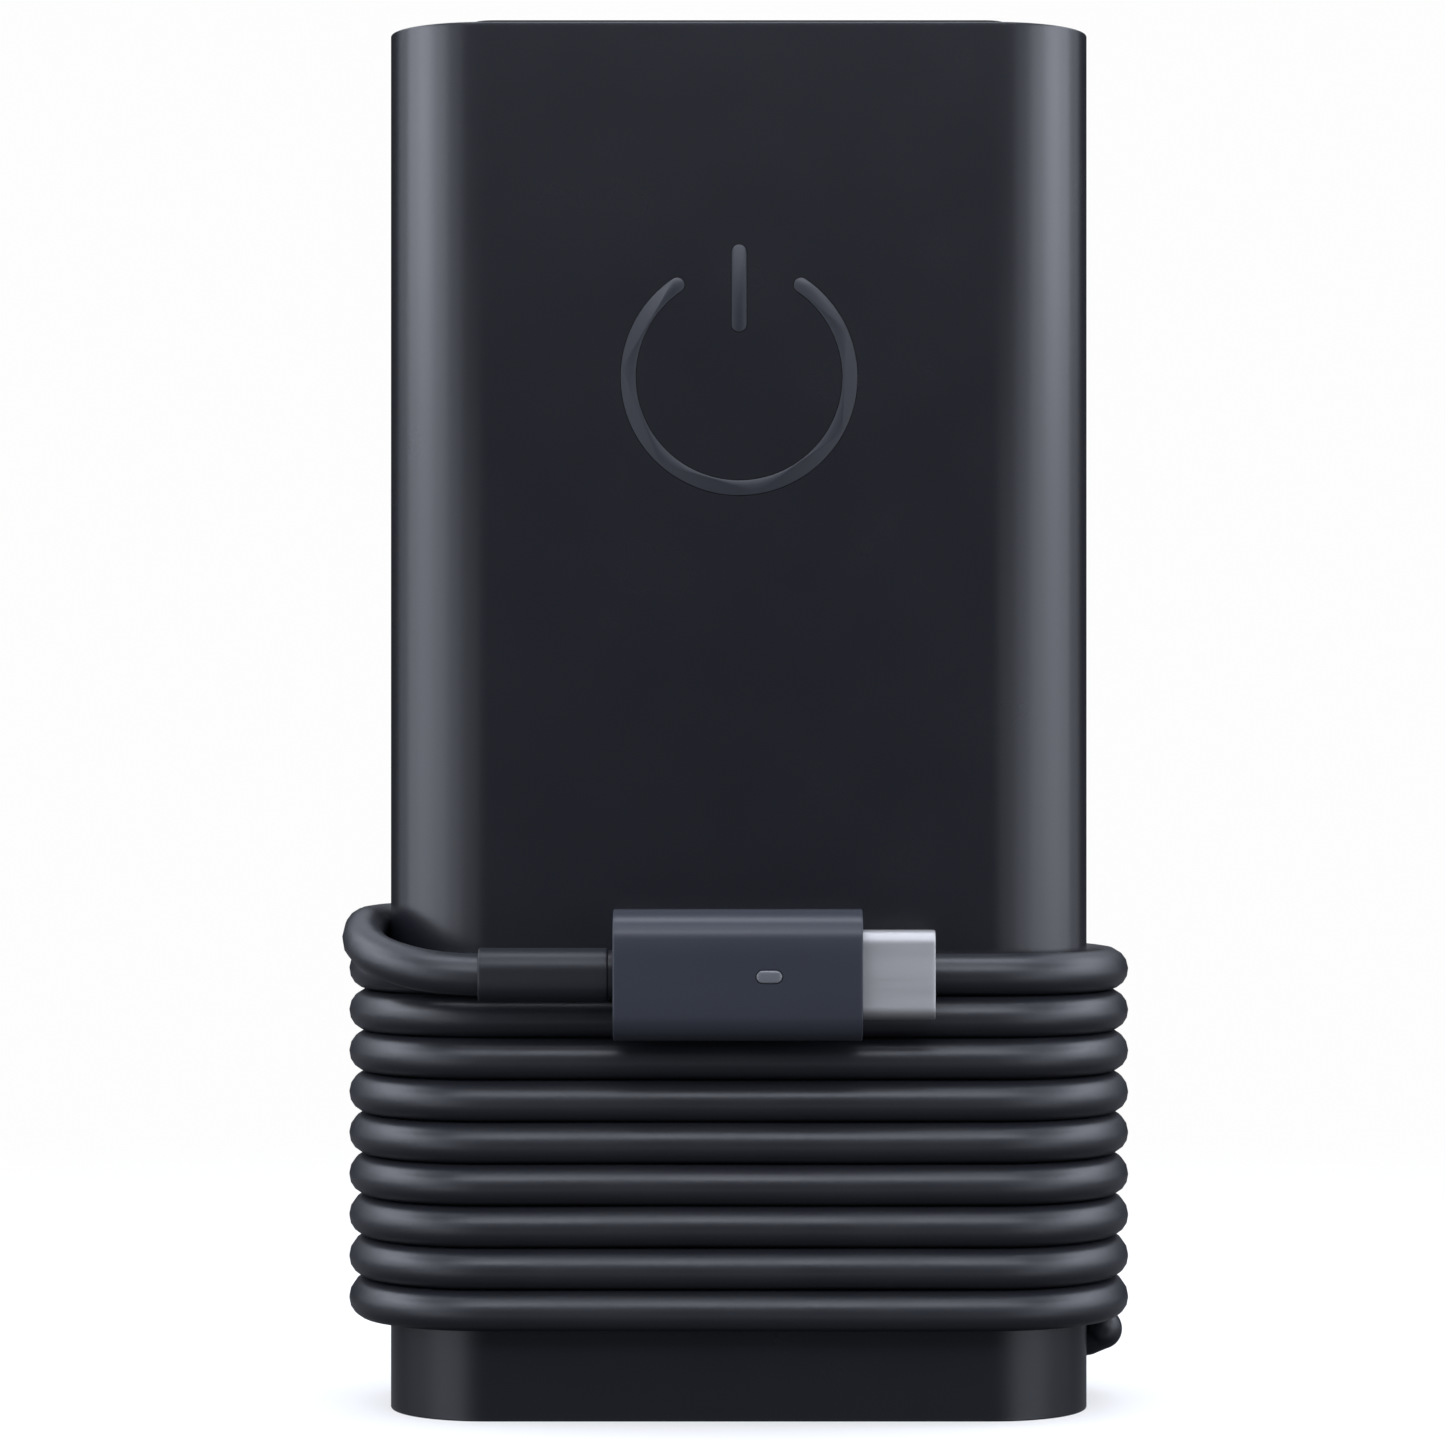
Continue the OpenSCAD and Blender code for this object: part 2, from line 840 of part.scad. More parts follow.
// ---------------------------------------------------------------- plug

// Flat outline in the plug's YZ plane, made long from x0 to x1
module along_plug(x0, x1) {
    translate([x0, plug_y, plug_z])
        rotate([90, 0, 90])
            linear_extrude(x1 - x0)
                children();
}

module plug_strain_relief() {
    color([0.1, 0.1, 0.11])
        along_plug(boot_x, grip_x)
            rounded(boot_t, boot_h, boot_r);
}

module plug_grip() {
    color([0.2, 0.21, 0.24])
        difference() {
            along_plug(grip_x, grip_end)
                rounded(grip_t, grip_h, grip_r);
            // Cavity for the board and the rear of the sleeve
            along_plug(plug_board_x0 - 1, sleeve_seat_x + 0.5)
                rounded(grip_t - 3.1, grip_h - 2.4, 0.5);
            along_plug(sleeve_seat_x, grip_end + 1)
                rounded(sleeve_t + 2 * gap, sleeve_w + 2 * gap, sleeve_t / 2);
            translate([lens_x, plug_y, lens_z])
                plate_y(0, grip_t)
                    rounded(lens_w + 2 * gap, lens_h + 2 * gap, lens_h / 2);
        }
}

module plug_sleeve() {
    color([0.75, 0.75, 0.76])
        difference() {
            along_plug(sleeve_x, sleeve_end)
                rounded(sleeve_t, sleeve_w, sleeve_t / 2 - 0.01);
            along_plug(sleeve_x - 1, sleeve_end + 1)
                rounded(sleeve_t - 2 * sleeve_wall, sleeve_w - 2 * sleeve_wall,
                    sleeve_t / 2 - sleeve_wall - 0.01);
        }
}

module plug_insulator() {
    inner_t = sleeve_t - 2 * sleeve_wall - 0.04;
    inner_w = sleeve_w - 2 * sleeve_wall - 0.04;
    color([0.12, 0.12, 0.13])
        difference() {
            along_plug(sleeve_x + 0.3, sleeve_end - 0.6)
                rounded(inner_t, inner_w, inner_t / 2 - 0.01);
            // Slot that the tongue of a socket enters
            block([sleeve_x + 5, plug_y - 0.5, plug_z - 3.35], [sleeve_end, plug_y + 0.5, plug_z + 3.35]);
        }
}

module plug_contacts() {
    color([0.9, 0.75, 0.35])
        for (side = [-1, 1], k = [-5.5 : 5.5])
            translate([sleeve_x + 8, plug_y + side * 0.42, plug_z + 0.5 * k])
                cube([4.6, 0.12, 0.26], center = true);
}

module plug_board() {
    color([0.1, 0.3, 0.15])
        block([plug_board_x0, plug_y - plug_board_t / 2, plug_z - plug_board_h / 2], [sleeve_x - 0.1,
            plug_y + plug_board_t / 2, plug_z + plug_board_h / 2]);
}

module plug_chip() {
    color([0.07, 0.07, 0.08])
        block([-3, plug_y + plug_board_t / 2, plug_z - 1.5], [0, plug_y + 1.2, plug_z + 1.5]);
}

module plug_lamp() {
    color([0.95, 0.95, 0.9])
        block([lens_x - 0.8, lamp_front, lens_z - 0.4], [lens_x + 0.8, plug_y - plug_board_t / 2,
            lens_z + 0.4]);
}

module plug_lens() {
    color([0.6, 0.62, 0.65])
        translate([lens_x, 0, lens_z])
            plate_y(lamp_front - 0.1, lamp_front - 0.1 - plug_y + grip_t / 2)
                rounded(lens_w, lens_h, lens_h / 2 - 0.01);
}

front_shell();
back_shell();
inlet_end_cap();
front_emblem();
rating_label();
inlet_housing();
line_pin();
neutral_pin();
earth_pin();
inlet_wires();
main_board();
mains_fuse();
surge_varistor();
inrush_thermistor();
x_capacitor();
choke_core();
choke_windings();
y_capacitors();
bridge_rectifier();
bulk_capacitor();
primary_transistor();
primary_heatsink();
transformer_core();
transformer_bobbin();
transformer_winding();
primary_controller();
optocoupler();
rectifier_transistor();
secondary_heatsink();
output_inductor();
output_capacitors();
charge_controller();
chip_components();
thermal_pads();
front_insulator();
back_insulator();
front_heat_spreader();
back_heat_spreader();
output_wires();
cord_gland();
cord_lead();
cord_winding();
cord_end();
plug_strain_relief();
plug_grip();
plug_sleeve();
plug_insulator();
plug_contacts();
plug_board();
plug_chip();
plug_lamp();
plug_lens();
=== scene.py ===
import json
import math

import bmesh
import bpy
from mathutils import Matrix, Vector, noise


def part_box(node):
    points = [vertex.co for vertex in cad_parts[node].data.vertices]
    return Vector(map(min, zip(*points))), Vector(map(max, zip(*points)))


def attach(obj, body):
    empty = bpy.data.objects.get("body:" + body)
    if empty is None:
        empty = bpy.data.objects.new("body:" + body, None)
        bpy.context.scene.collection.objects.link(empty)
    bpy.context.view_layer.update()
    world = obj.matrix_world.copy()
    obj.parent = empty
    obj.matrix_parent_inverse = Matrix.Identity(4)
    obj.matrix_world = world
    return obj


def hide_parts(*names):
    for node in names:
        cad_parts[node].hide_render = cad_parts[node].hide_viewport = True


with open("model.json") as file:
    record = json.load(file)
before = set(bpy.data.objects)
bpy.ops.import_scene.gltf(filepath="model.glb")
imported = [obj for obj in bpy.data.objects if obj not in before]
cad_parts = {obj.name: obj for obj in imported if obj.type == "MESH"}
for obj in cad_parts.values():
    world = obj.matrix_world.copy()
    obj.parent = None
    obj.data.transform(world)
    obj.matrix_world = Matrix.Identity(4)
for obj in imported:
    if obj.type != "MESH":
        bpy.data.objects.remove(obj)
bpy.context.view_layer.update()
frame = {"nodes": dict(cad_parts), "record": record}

MM = 0.001                       # the script works in millimetres; meshes are in metres

# ---------------------------------------------------------------- sizes from the frame


def span(node):
    """Lowest and highest corner of a CAD node, in millimetres."""
    low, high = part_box(node)
    return low / MM, high / MM


front_low, front_high = span("front_shell")
back_high = span("back_shell")[1]
cap_low, cap_high = span("inlet_end_cap")
grip_low, grip_high = span("plug_grip")
sleeve_low, sleeve_high = span("plug_sleeve")
boot_low, boot_high = span("plug_strain_relief")
lens_low, lens_high = span("plug_lens")
label_low, label_high = span("rating_label")
emblem_low, emblem_high = span("front_emblem")

BODY_W = front_high.x - front_low.x
BODY_D = 2 * back_high.y
BODY_H = front_high.z
SIDE_R = 9.5                     # radius of the rounded narrow sides
WALL = 1.8
FLAT_X = BODY_W / 2 - SIDE_R     # half width of the flat front face
FLAT_Y = BODY_D / 2 - SIDE_R     # half depth of the flat strip on each side
PLATE_W, PLATE_D, PLATE_R = 50, 16, 2

CORD_D = 3.86
TURNS = 9
PITCH = 3.88
FIRST_TURN_Z = 10.6
CORD_OUT = 2.03                  # centre line of the cord to the body's surface
PLUG_Y = (grip_low.y + grip_high.y) / 2
PLUG_Z = (grip_low.z + grip_high.z) / 2

GLAND_Y = 4.9                    # where the cord's strain relief goes through the side
GLAND_Z = 6.5                    # height of its sleeve round the back corner
GLAND_ARC_R = SIDE_R + 2.1
GLAND_R = 1.98                   # radius where its sleeve starts
NECK_Z = 5.1                     # its narrow neck through the wall
NECK_R = 1.3

# The cord's route from the gland to the winding, across the back
INSIDE_GLAND = (19, 13.05, 6.5)
LEAD = [
    (15.5, 13, 6.5), (8, 13, 6.9), (0, 13, 7.8), (-8, 13, 8.9), (-16, 13, 9.9), (-23.5, 13, 10.6),
]
# The cord's route from the winding to the plug
END = [
    # up across the back
    (23.5, 13, 41.7), (12, 13, 42.6), (0, 13, 43.7), (-12, 13, 44.9), (-23.5, 13, 45.5),
    # round the left side
    (-27.9, 12.2, 45.5), (-31.7, 9.7, 45.5), (-34.25, 6.0, 45.5), (-35.15, 1.6, 45.5),
    (-35.1, -2, 45.5), (-35.1, -5.8, 45.55), (-34.9, -10.4, 44.5),
    # over the front
    (-33.2, -13.8, 43.4), (-30.5, -16.4, 42.6), (-27.4, -17.9, 42.1), (-23.8, -18.3, 41.9),
]
INSIDE_BOOT = (-20, -18.3, 41.9)

FIT = 0.05                       # gap round a piece set into another
EMBLEM_DEPTH = 0.3
LABEL_DEPTH = 0.2
SMOOTH_ANGLE = 35                # edges sharper than this stay sharp, in degrees


def middle(low, high):
    """Centre of the box between two corners."""
    return [(a + b) / 2 for a, b in zip(low, high)]


# ---------------------------------------------------------------- camera

CAMERA_PLACE = (-1.54, -425, BODY_H / 2 - 0.08)
CAMERA_LENS = 111.1
SENSOR_WIDTH = 36
NEAR_LIMIT = 0.01                # metres


def add_camera():
    """Level with the middle of the body, square on to its front face."""
    data = bpy.data.cameras.new("camera")
    data.sensor_width = SENSOR_WIDTH
    data.lens = CAMERA_LENS
    data.clip_start = NEAR_LIMIT
    camera = bpy.data.objects.new("camera", data)
    camera.location = Vector(CAMERA_PLACE) * MM
    camera.rotation_euler = (math.pi / 2, 0, 0)
    bpy.context.scene.collection.objects.link(camera)
    bpy.context.scene.camera = camera


add_camera()

# ---------------------------------------------------------------- mesh helpers


def add_object(name, data):
    obj = bpy.data.objects.new(name, data)
    bpy.context.scene.collection.objects.link(obj)
    return obj


def smooth_by_angle(obj, degrees=SMOOTH_ANGLE):
    for face in obj.data.polygons:
        face.use_smooth = True
    obj.data.set_sharp_from_angle(angle=math.radians(degrees))


def add_mesh(name, points, faces, degrees=SMOOTH_ANGLE):
    """Mesh from points in millimetres, with its normals turned outwards."""
    mesh = bpy.data.meshes.new(name)
    mesh.from_pydata([Vector(p) * MM for p in points], [], faces)
    bm = bmesh.new()
    bm.from_mesh(mesh)
    bmesh.ops.recalc_face_normals(bm, faces=bm.faces)
    bm.to_mesh(mesh)
    bm.free()
    obj = add_object(name, mesh)
    smooth_by_angle(obj, degrees)
    return obj


def loft(name, rings, closed=False, degrees=SMOOTH_ANGLE):
    """Skin over rings of equally many points.

    closed joins the last ring to the first; otherwise both are capped.
    """
    count = len(rings[0])
    points = [p for ring in rings for p in ring]
    faces = []
    for i in range(len(rings) if closed else len(rings) - 1):
        a, b = i * count, (i + 1) % len(rings) * count
        faces += [(a + k, a + (k + 1) % count, b + (k + 1) % count, b + k) for k in range(count)]
    if not closed:
        faces.append(tuple(reversed(range(count))))
        faces.append(tuple(range(len(points) - count, len(points))))
    return add_mesh(name, points, faces, degrees)


def apply_modifiers(obj):
    graph = bpy.context.evaluated_depsgraph_get()
    mesh = bpy.data.meshes.new_from_object(obj.evaluated_get(graph))
    old = obj.data
    obj.modifiers.clear()
    obj.data = mesh
    bpy.data.meshes.remove(old)


def boolean(obj, tool, operation="DIFFERENCE"):
    """Cuts tool out of obj, or adds it for "UNION", and deletes tool."""
    modifier = obj.modifiers.new("cut", "BOOLEAN")
    modifier.operation = operation
    modifier.solver = "EXACT"
    modifier.object = tool
    apply_modifiers(obj)
    bpy.data.objects.remove(tool)
    smooth_by_angle(obj)


def copy_of(obj, name):
    twin = obj.copy()
    twin.data = obj.data.copy()
    twin.name = name
    bpy.context.scene.collection.objects.link(twin)
    return twin


def prism(name, outline, z0, z1):
    return loft(name, [[(x, y, z) for x, y in outline] for z in (z0, z1)])


def block(low, high):
    (x0, y0, z0), (x1, y1, z1) = low, high
    return prism("block", [(x0, y0), (x1, y0), (x1, y1), (x0, y1)], z0, z1)


def rounded_outline(w, d, r, steps=24, edge=0.25):
    """Rounded rectangle, anticlockwise, with a point close to both ends of every straight side."""
    edges = (min(edge, (d - 2 * r) / 3), min(edge, (w - 2 * r) / 3))
    points = []
    for quarter, (sx, sy) in enumerate(((1, -1), (1, 1), (-1, 1), (-1, -1))):
        cx, cy = sx * (w / 2 - r), sy * (d / 2 - r)
        first = math.radians(quarter * 90 - 90)
        angles = [first + math.radians(90) * k / steps for k in range(steps + 1)]
        last = angles[-1]
        corner = [(cx + r * math.cos(a), cy + r * math.sin(a)) for a in angles]
        before = Vector((math.sin(first), -math.cos(first))) * edges[(quarter + 1) % 2]
        after = Vector((-math.sin(last), math.cos(last))) * edges[quarter % 2]
        points.append((corner[0][0] + before.x, corner[0][1] + before.y))
        points += corner
        points.append((corner[-1][0] + after.x, corner[-1][1] + after.y))
    return points


def end_levels(z0, z1, fillet, steps=6):
    """(inset, z) pairs of a prism from z0 to z1 whose two rims are rounded.

    A tall prism gets a ring close to each rim as well, which keeps its sides flat in shading.
    """
    tall, close = 3, 0.3
    angles = [math.radians(90) * k / steps for k in range(steps + 1)]
    low = [(fillet * (1 - math.sin(a)), z0 + fillet * (1 - math.cos(a))) for a in angles]
    high = [(fillet * (1 - math.cos(a)), z1 - fillet * (1 - math.sin(a))) for a in angles]
    if z1 - z0 < tall:
        return low + high
    return low + [(0, z0 + fillet + close), (0, z1 - fillet - close)] + high


def rounded_block(name, w, d, r, z0, z1, fillet, steps=24):
    """Upright prism with a rounded outline and rounded rims."""
    rings = []
    for inset, z in end_levels(z0, z1, fillet):
        ring = rounded_outline(w - 2 * inset, d - 2 * inset, max(r - inset, 0.05), steps)
        rings.append([(x, y, z) for x, y in ring])
    return loft(name, rings)


def turn(obj, axes):
    """Swaps the axes of a mesh: axes names the old axes that become x, y and z, as in "zxy"."""
    order = ["xyz".index(a) for a in axes]
    for vertex in obj.data.vertices:
        old = vertex.co.copy()
        vertex.co = Vector([old[k] for k in order])
    bm = bmesh.new()
    bm.from_mesh(obj.data)
    bmesh.ops.recalc_face_normals(bm, faces=bm.faces)
    bm.to_mesh(obj.data)
    bm.free()


def move(obj, x=0, y=0, z=0):
    for vertex in obj.data.vertices:
        vertex.co += Vector((x, y, z)) * MM


def lathe(name, profile, sides):
    """Solid of revolution about Z through (radius, z) points, closed at both ends."""
    rings = []
    for radius, z in profile:
        ring = [2 * math.pi * k / sides for k in range(sides)]
        rings.append([(radius * math.cos(a), radius * math.sin(a), z) for a in ring])
    return loft(name, rings)


def smooth_route(points, step):
    """Catmull-Rom curve through the points, about step millimetres apart."""
    points = [Vector(p) for p in points]
    padded = [2 * points[0] - points[1]] + points + [2 * points[-1] - points[-2]]
    route = []
    for i in range(1, len(padded) - 2):
        a, b, c, d = padded[i - 1:i + 3]
        count = max(1, round((c - b).length / step))
        for k in range(count):
            t = k / count
            route.append(0.5 * (2 * b + (c - a) * t + (2 * a - 5 * b + 4 * c - d) * t * t
                                + (3 * b - a - 3 * c + d) * t * t * t))
    return route + [points[-1]]


def sweep(name, route, radii, sides, degrees=SMOOTH_ANGLE):
    """Closed tube along the route, whose radius follows radii."""
    side = Vector((0, 0, 1))
    rings = []
    for i, (point, radius) in enumerate(zip(route, radii)):
        ahead = (route[min(i + 1, len(route) - 1)] - route[max(i - 1, 0)]).normalized()
        side = (side - ahead * side.dot(ahead)).normalized()
        across = ahead.cross(side)
        ring = [2 * math.pi * k / sides for k in range(sides)]
        rings.append([point + radius * (math.cos(a) * side + math.sin(a) * across) for a in ring])
    return loft(name, rings, degrees=degrees)


def length_of(route):
    return sum((b - a).length for a, b in zip(route, route[1:]))


# ---------------------------------------------------------------- materials

COLOUR_DETAIL, GLOSS_DETAIL, GRAIN_DETAIL = 4.0, 3.0, 2.0
NOISE_BAND = (0.3, 0.7)          # where most values of a noise lie
COLOUR_SCALE, GLOSS_SCALE = 45, 120  # of the patches on plastic, per metre


def new_material(name):
    material = bpy.data.materials.new(name)
    material.use_nodes = True
    return material, material.node_tree, material.node_tree.nodes["Principled BSDF"]


def noise_node(tree, scale, detail, stretch=None):
    """Noise in the object's own coordinates; stretch scales it along each axis."""
    place = tree.nodes.new("ShaderNodeTexCoord")
    texture = tree.nodes.new("ShaderNodeTexNoise")
    texture.inputs["Scale"].default_value = scale
    texture.inputs["Detail"].default_value = detail
    source = place.outputs["Object"]
    if stretch:
        mapping = tree.nodes.new("ShaderNodeMapping")
        mapping.inputs["Scale"].default_value = stretch
        tree.links.new(source, mapping.inputs["Vector"])
        source = mapping.outputs["Vector"]
    tree.links.new(source, texture.inputs["Vector"])
    return texture


def map_range(tree, source, start, end, low, high, shape="SMOOTHSTEP"):
    """Goes from low to high while source goes from start to end."""
    node = tree.nodes.new("ShaderNodeMapRange")
    node.interpolation_type = shape
    for name, value in (("From Min", start), ("From Max", end), ("To Min", low), ("To Max", high)):
        node.inputs[name].default_value = value
    tree.links.new(source, node.inputs["Value"])
    return node.outputs["Result"]


def vary_colour(tree, shader, colour, amount, scale, stretch=None):
    """Base colour that drifts by amount, lighter and darker, in patches of size 1 / scale."""
    patches = noise_node(tree, scale, COLOUR_DETAIL, stretch)
    mix = tree.nodes.new("ShaderNodeMix")
    mix.data_type = "RGBA"
    mix.inputs["A"].default_value = (*[c * (1 - amount) for c in colour], 1)
    mix.inputs["B"].default_value = (*[min(1, c * (1 + amount)) for c in colour], 1)
    tree.links.new(patches.outputs["Fac"], mix.inputs["Factor"])
    tree.links.new(mix.outputs["Result"], shader.inputs["Base Color"])


def vary_roughness(tree, shader, low, high, scale, stretch=None):
    texture = noise_node(tree, scale, GLOSS_DETAIL, stretch)
    roughness = map_range(tree, texture.outputs["Fac"], *NOISE_BAND, low, high, "LINEAR")
    tree.links.new(roughness, shader.inputs["Roughness"])


def add_grain(tree, shader, scale, strength, depth, stretch=None):
    """Fine bumps of about 1 / scale across and depth metres high."""
    texture = noise_node(tree, scale, GRAIN_DETAIL, stretch)
    bump = tree.nodes.new("ShaderNodeBump")
    bump.inputs["Strength"].default_value = strength
    bump.inputs["Distance"].default_value = depth
    tree.links.new(texture.outputs["Fac"], bump.inputs["Height"])
    tree.links.new(bump.outputs["Normal"], shader.inputs["Normal"])


def plastic(name, colour, rough, grain, specular=0.5, coat=0.0, drift=0.08):
    """Moulded plastic or rubber: fine eroded grain, slight drift of colour and gloss."""
    material, tree, shader = new_material(name)
    shader.inputs["Specular IOR Level"].default_value = specular
    shader.inputs["Coat Weight"].default_value = coat
    vary_colour(tree, shader, colour, drift, COLOUR_SCALE)
    vary_roughness(tree, shader, *rough, GLOSS_SCALE)
    add_grain(tree, shader, *grain)
    return material


def metal(name, colour, rough, stretch, scale=400, grain=0.12):
    """Metal with fine drawn or rolled lines along the axis that stretch shrinks."""
    drift, grain_depth = 0.06, 0.00001
    material, tree, shader = new_material(name)
    shader.inputs["Metallic"].default_value = 1.0
    vary_colour(tree, shader, colour, drift, scale / 4, stretch)
    vary_roughness(tree, shader, *rough, scale, stretch)
    add_grain(tree, shader, scale * 4, grain, grain_depth, stretch)
    return material


# Colour, range of roughness, grain (scale, strength, depth in metres), specular, coat, drift
PLASTICS = {
    "shell_plastic": ((0.0089, 0.0096, 0.0128), (0.255, 0.275),
                      (3200, 0.3, 0.00002), 0.5, 0.0, 0.03),
    "end_plastic": ((0.0035, 0.0035, 0.004), (0.5, 0.6), (2400, 0.4, 0.00003), 0.2),
    "emblem_plastic": ((0.018, 0.02, 0.0255), (0.34, 0.4), (4000, 0.15, 0.00001)),
    "label_film": ((0.011, 0.011, 0.0125), (0.3, 0.38), (1800, 0.2, 0.00001)),
    "inlet_plastic": ((0.006, 0.006, 0.0065), (0.45, 0.55), (1500, 0.4, 0.00003)),
    "circuit_board": ((0.012, 0.1, 0.035), (0.22, 0.4), (900, 0.3, 0.00004), 0.5, 0.2, 0.35),
    "chip_plastic": ((0.012, 0.012, 0.013), (0.45, 0.6), (1500, 0.4, 0.00003)),
    "opto_plastic": ((0.75, 0.75, 0.7), (0.4, 0.5), (1500, 0.3, 0.00002)),
    "film_capacitor": ((0.55, 0.38, 0.05), (0.2, 0.3), (700, 0.2, 0.00002)),
    "disc_coating": ((0.025, 0.11, 0.33), (0.2, 0.35), (350, 0.5, 0.0001)),
    "thermistor_coating": ((0.025, 0.04, 0.03), (0.3, 0.45), (350, 0.5, 0.0001)),
    "capacitor_sleeve": ((0.01, 0.014, 0.035), (0.18, 0.28), (250, 0.2, 0.00005)),
    "ferrite": ((0.03, 0.03, 0.033), (0.35, 0.6), (900, 0.6, 0.00005)),
    "winding_tape": ((0.72, 0.5, 0.05), (0.2, 0.32), (300, 0.3, 0.00006)),
    "bobbin_plastic": ((0.55, 0.53, 0.45), (0.4, 0.5), (1200, 0.3, 0.00002)),
    "thermal_pad": ((0.3, 0.32, 0.36), (0.6, 0.75), (600, 0.5, 0.0001)),
    "insulating_film": ((0.6, 0.55, 0.4), (0.2, 0.35), (200, 0.2, 0.00005)),
    "wire_insulation": ((0.2, 0.1, 0.07), (0.3, 0.42), (1500, 0.3, 0.00002)),
    "cord_jacket": ((0.0135, 0.0143, 0.018), (0.34, 0.42), (1700, 0.4, 0.00004), 0.5),
    "relief_rubber": ((0.0095, 0.0105, 0.0135), (0.36, 0.44), (2000, 0.4, 0.00003), 0.35),
    "plug_plastic": ((0.032, 0.035, 0.0445), (0.28, 0.34), (3000, 0.2, 0.00001), 0.3),
    "lamp_lens": ((0.12, 0.125, 0.135), (0.2, 0.28), (900, 0.15, 0.00001), 0.5, 0.3),
}
# Colour, range of roughness, stretch of the lines, their scale and strength
METALS = {
    "nickel_contact": ((0.78, 0.75, 0.68), (0.16, 0.28), (1, 1, 0.08)),
    "gold_contact": ((0.9, 0.64, 0.26), (0.18, 0.3), (0.1, 1, 1)),
    "steel_sleeve": ((0.425, 0.42, 0.42), (0.5, 0.6), (0.06, 1, 1), 900, 0.2),
    "bare_aluminium": ((0.74, 0.74, 0.76), (0.28, 0.42), (1, 1, 0.06)),
    "copper_wire": ((0.62, 0.25, 0.09), (0.2, 0.32), (1, 0.1, 1), 1200, 0.6),
}
MATERIALS = {name: plastic(name, *values) for name, values in PLASTICS.items()}
MATERIALS.update({name: metal(name, *values) for name, values in METALS.items()})


def finish_piece(obj, slot, *nodes):
    """Gives a piece its material, the body it rides on and the CAD nodes it stands for."""
    obj.data.materials.clear()
    obj.data.materials.append(MATERIALS[slot])
    for face in getattr(obj.data, "polygons", []):
        face.material_index = 0
    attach(obj, "root")
    if nodes:
        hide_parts(*nodes)
    return obj


def finish_cad_nodes():
    """Every CAD node gets the material of its slot."""
    for part in frame["record"]["subparts"]:
        obj = frame["nodes"][part["node"]]
        obj.data.materials.clear()
        obj.data.materials.append(MATERIALS[part["material_slot"]])


# ---------------------------------------------------------------- cord

CORNER_STEPS = 10
BACK_STEPS = 8
FRONT_STATIONS = (-17, -11, -5, 0, 5, 11, 17)
WANDER = 0.07                    # how far the turns wander up and down
WANDER_SCALE = (0.05, 0.05, 0.35)
LEAD_STEP, END_STEP = 2.5, 1.6   # distance between the points of the two free runs


def one_turn(z, z_next):
    """One turn of the winding: left side, front, right side, then up the back to the left."""
    r = SIDE_R + CORD_OUT
    points = []
    for corner, (sx, sy) in enumerate(((-1, 1), (-1, -1), (1, -1), (1, 1))):
        for k in range(CORNER_STEPS + 1):
            a = math.radians(90 + 90 * corner + 90 * k / CORNER_STEPS)
            points.append(Vector((sx * FLAT_X + r * math.cos(a), sy * FLAT_Y + r * math.sin(a), z)))
        if corner == 1:
            points += [Vector((x, -FLAT_Y - r, z)) for x in FRONT_STATIONS]
    if z_next is not None:
        for k in range(1, BACK_STEPS):
            t = k / BACK_STEPS
            rise = (z_next - z) * t * t * (3 - 2 * t)
            points.append(Vector((FLAT_X * (1 - 2 * t), FLAT_Y + r, z + rise)))
    return points


def wound_route():
    route = []
    for i in range(TURNS):
        z = FIRST_TURN_Z + i * PITCH
        route += one_turn(z, z + PITCH if i + 1 < TURNS else None)
    # Slight unevenness of a cord wound by hand
    for point in route:
        around = Vector([a * b for a, b in zip(point, WANDER_SCALE)])
        point.z += WANDER * noise.noise(around)
    return route


def add_cord():
    """The whole cord as one round curve, with its length in millimetres."""
    lead = smooth_route(LEAD, LEAD_STEP)
    end = smooth_route(END, END_STEP)
    route = [Vector(INSIDE_GLAND)] + lead[:-1] + wound_route() + end[1:] + [Vector(INSIDE_BOOT)]
    curve = bpy.data.curves.new("output_cord", "CURVE")
    curve.dimensions = "3D"
    curve.bevel_depth = CORD_D / 2 * MM
    curve.bevel_resolution = 6
    curve.use_fill_caps = True
    spline = curve.splines.new("POLY")
    spline.points.add(len(route) - 1)
    for point, place in zip(spline.points, route):
        point.co = (*(place * MM), 1)
    spline.use_smooth = True
    return add_object("output_cord", curve), length_of(route)


cord, cord_length = add_cord()
finish_piece(cord, "cord_jacket", "cord_lead", "cord_winding", "cord_end")

# ---------------------------------------------------------------- casing


def arc(cx, cy, r, first, last, steps):
    """Points on a circle between two angles in degrees."""
    angles = [math.radians(first + (last - first) * k / steps) for k in range(steps + 1)]
    return [(cx + r * math.cos(a), cy + r * math.sin(a)) for a in angles]


LABEL_R = 2
LABEL_Z = (label_low.z + label_high.z) / 2
EMBLEM_R = (emblem_high.x - emblem_low.x) / 2
EMBLEM_Z = emblem_low.z + EMBLEM_R
STROKE = 1.4
RING_GAP = 34                    # half the ring's opening, in degrees
BAR_TOP, BAR_BOTTOM = 1.12, 0.38  # where the bar starts and ends, in shares of the emblem's radius
RING_STEPS, ROUND_STEPS = 90, 8


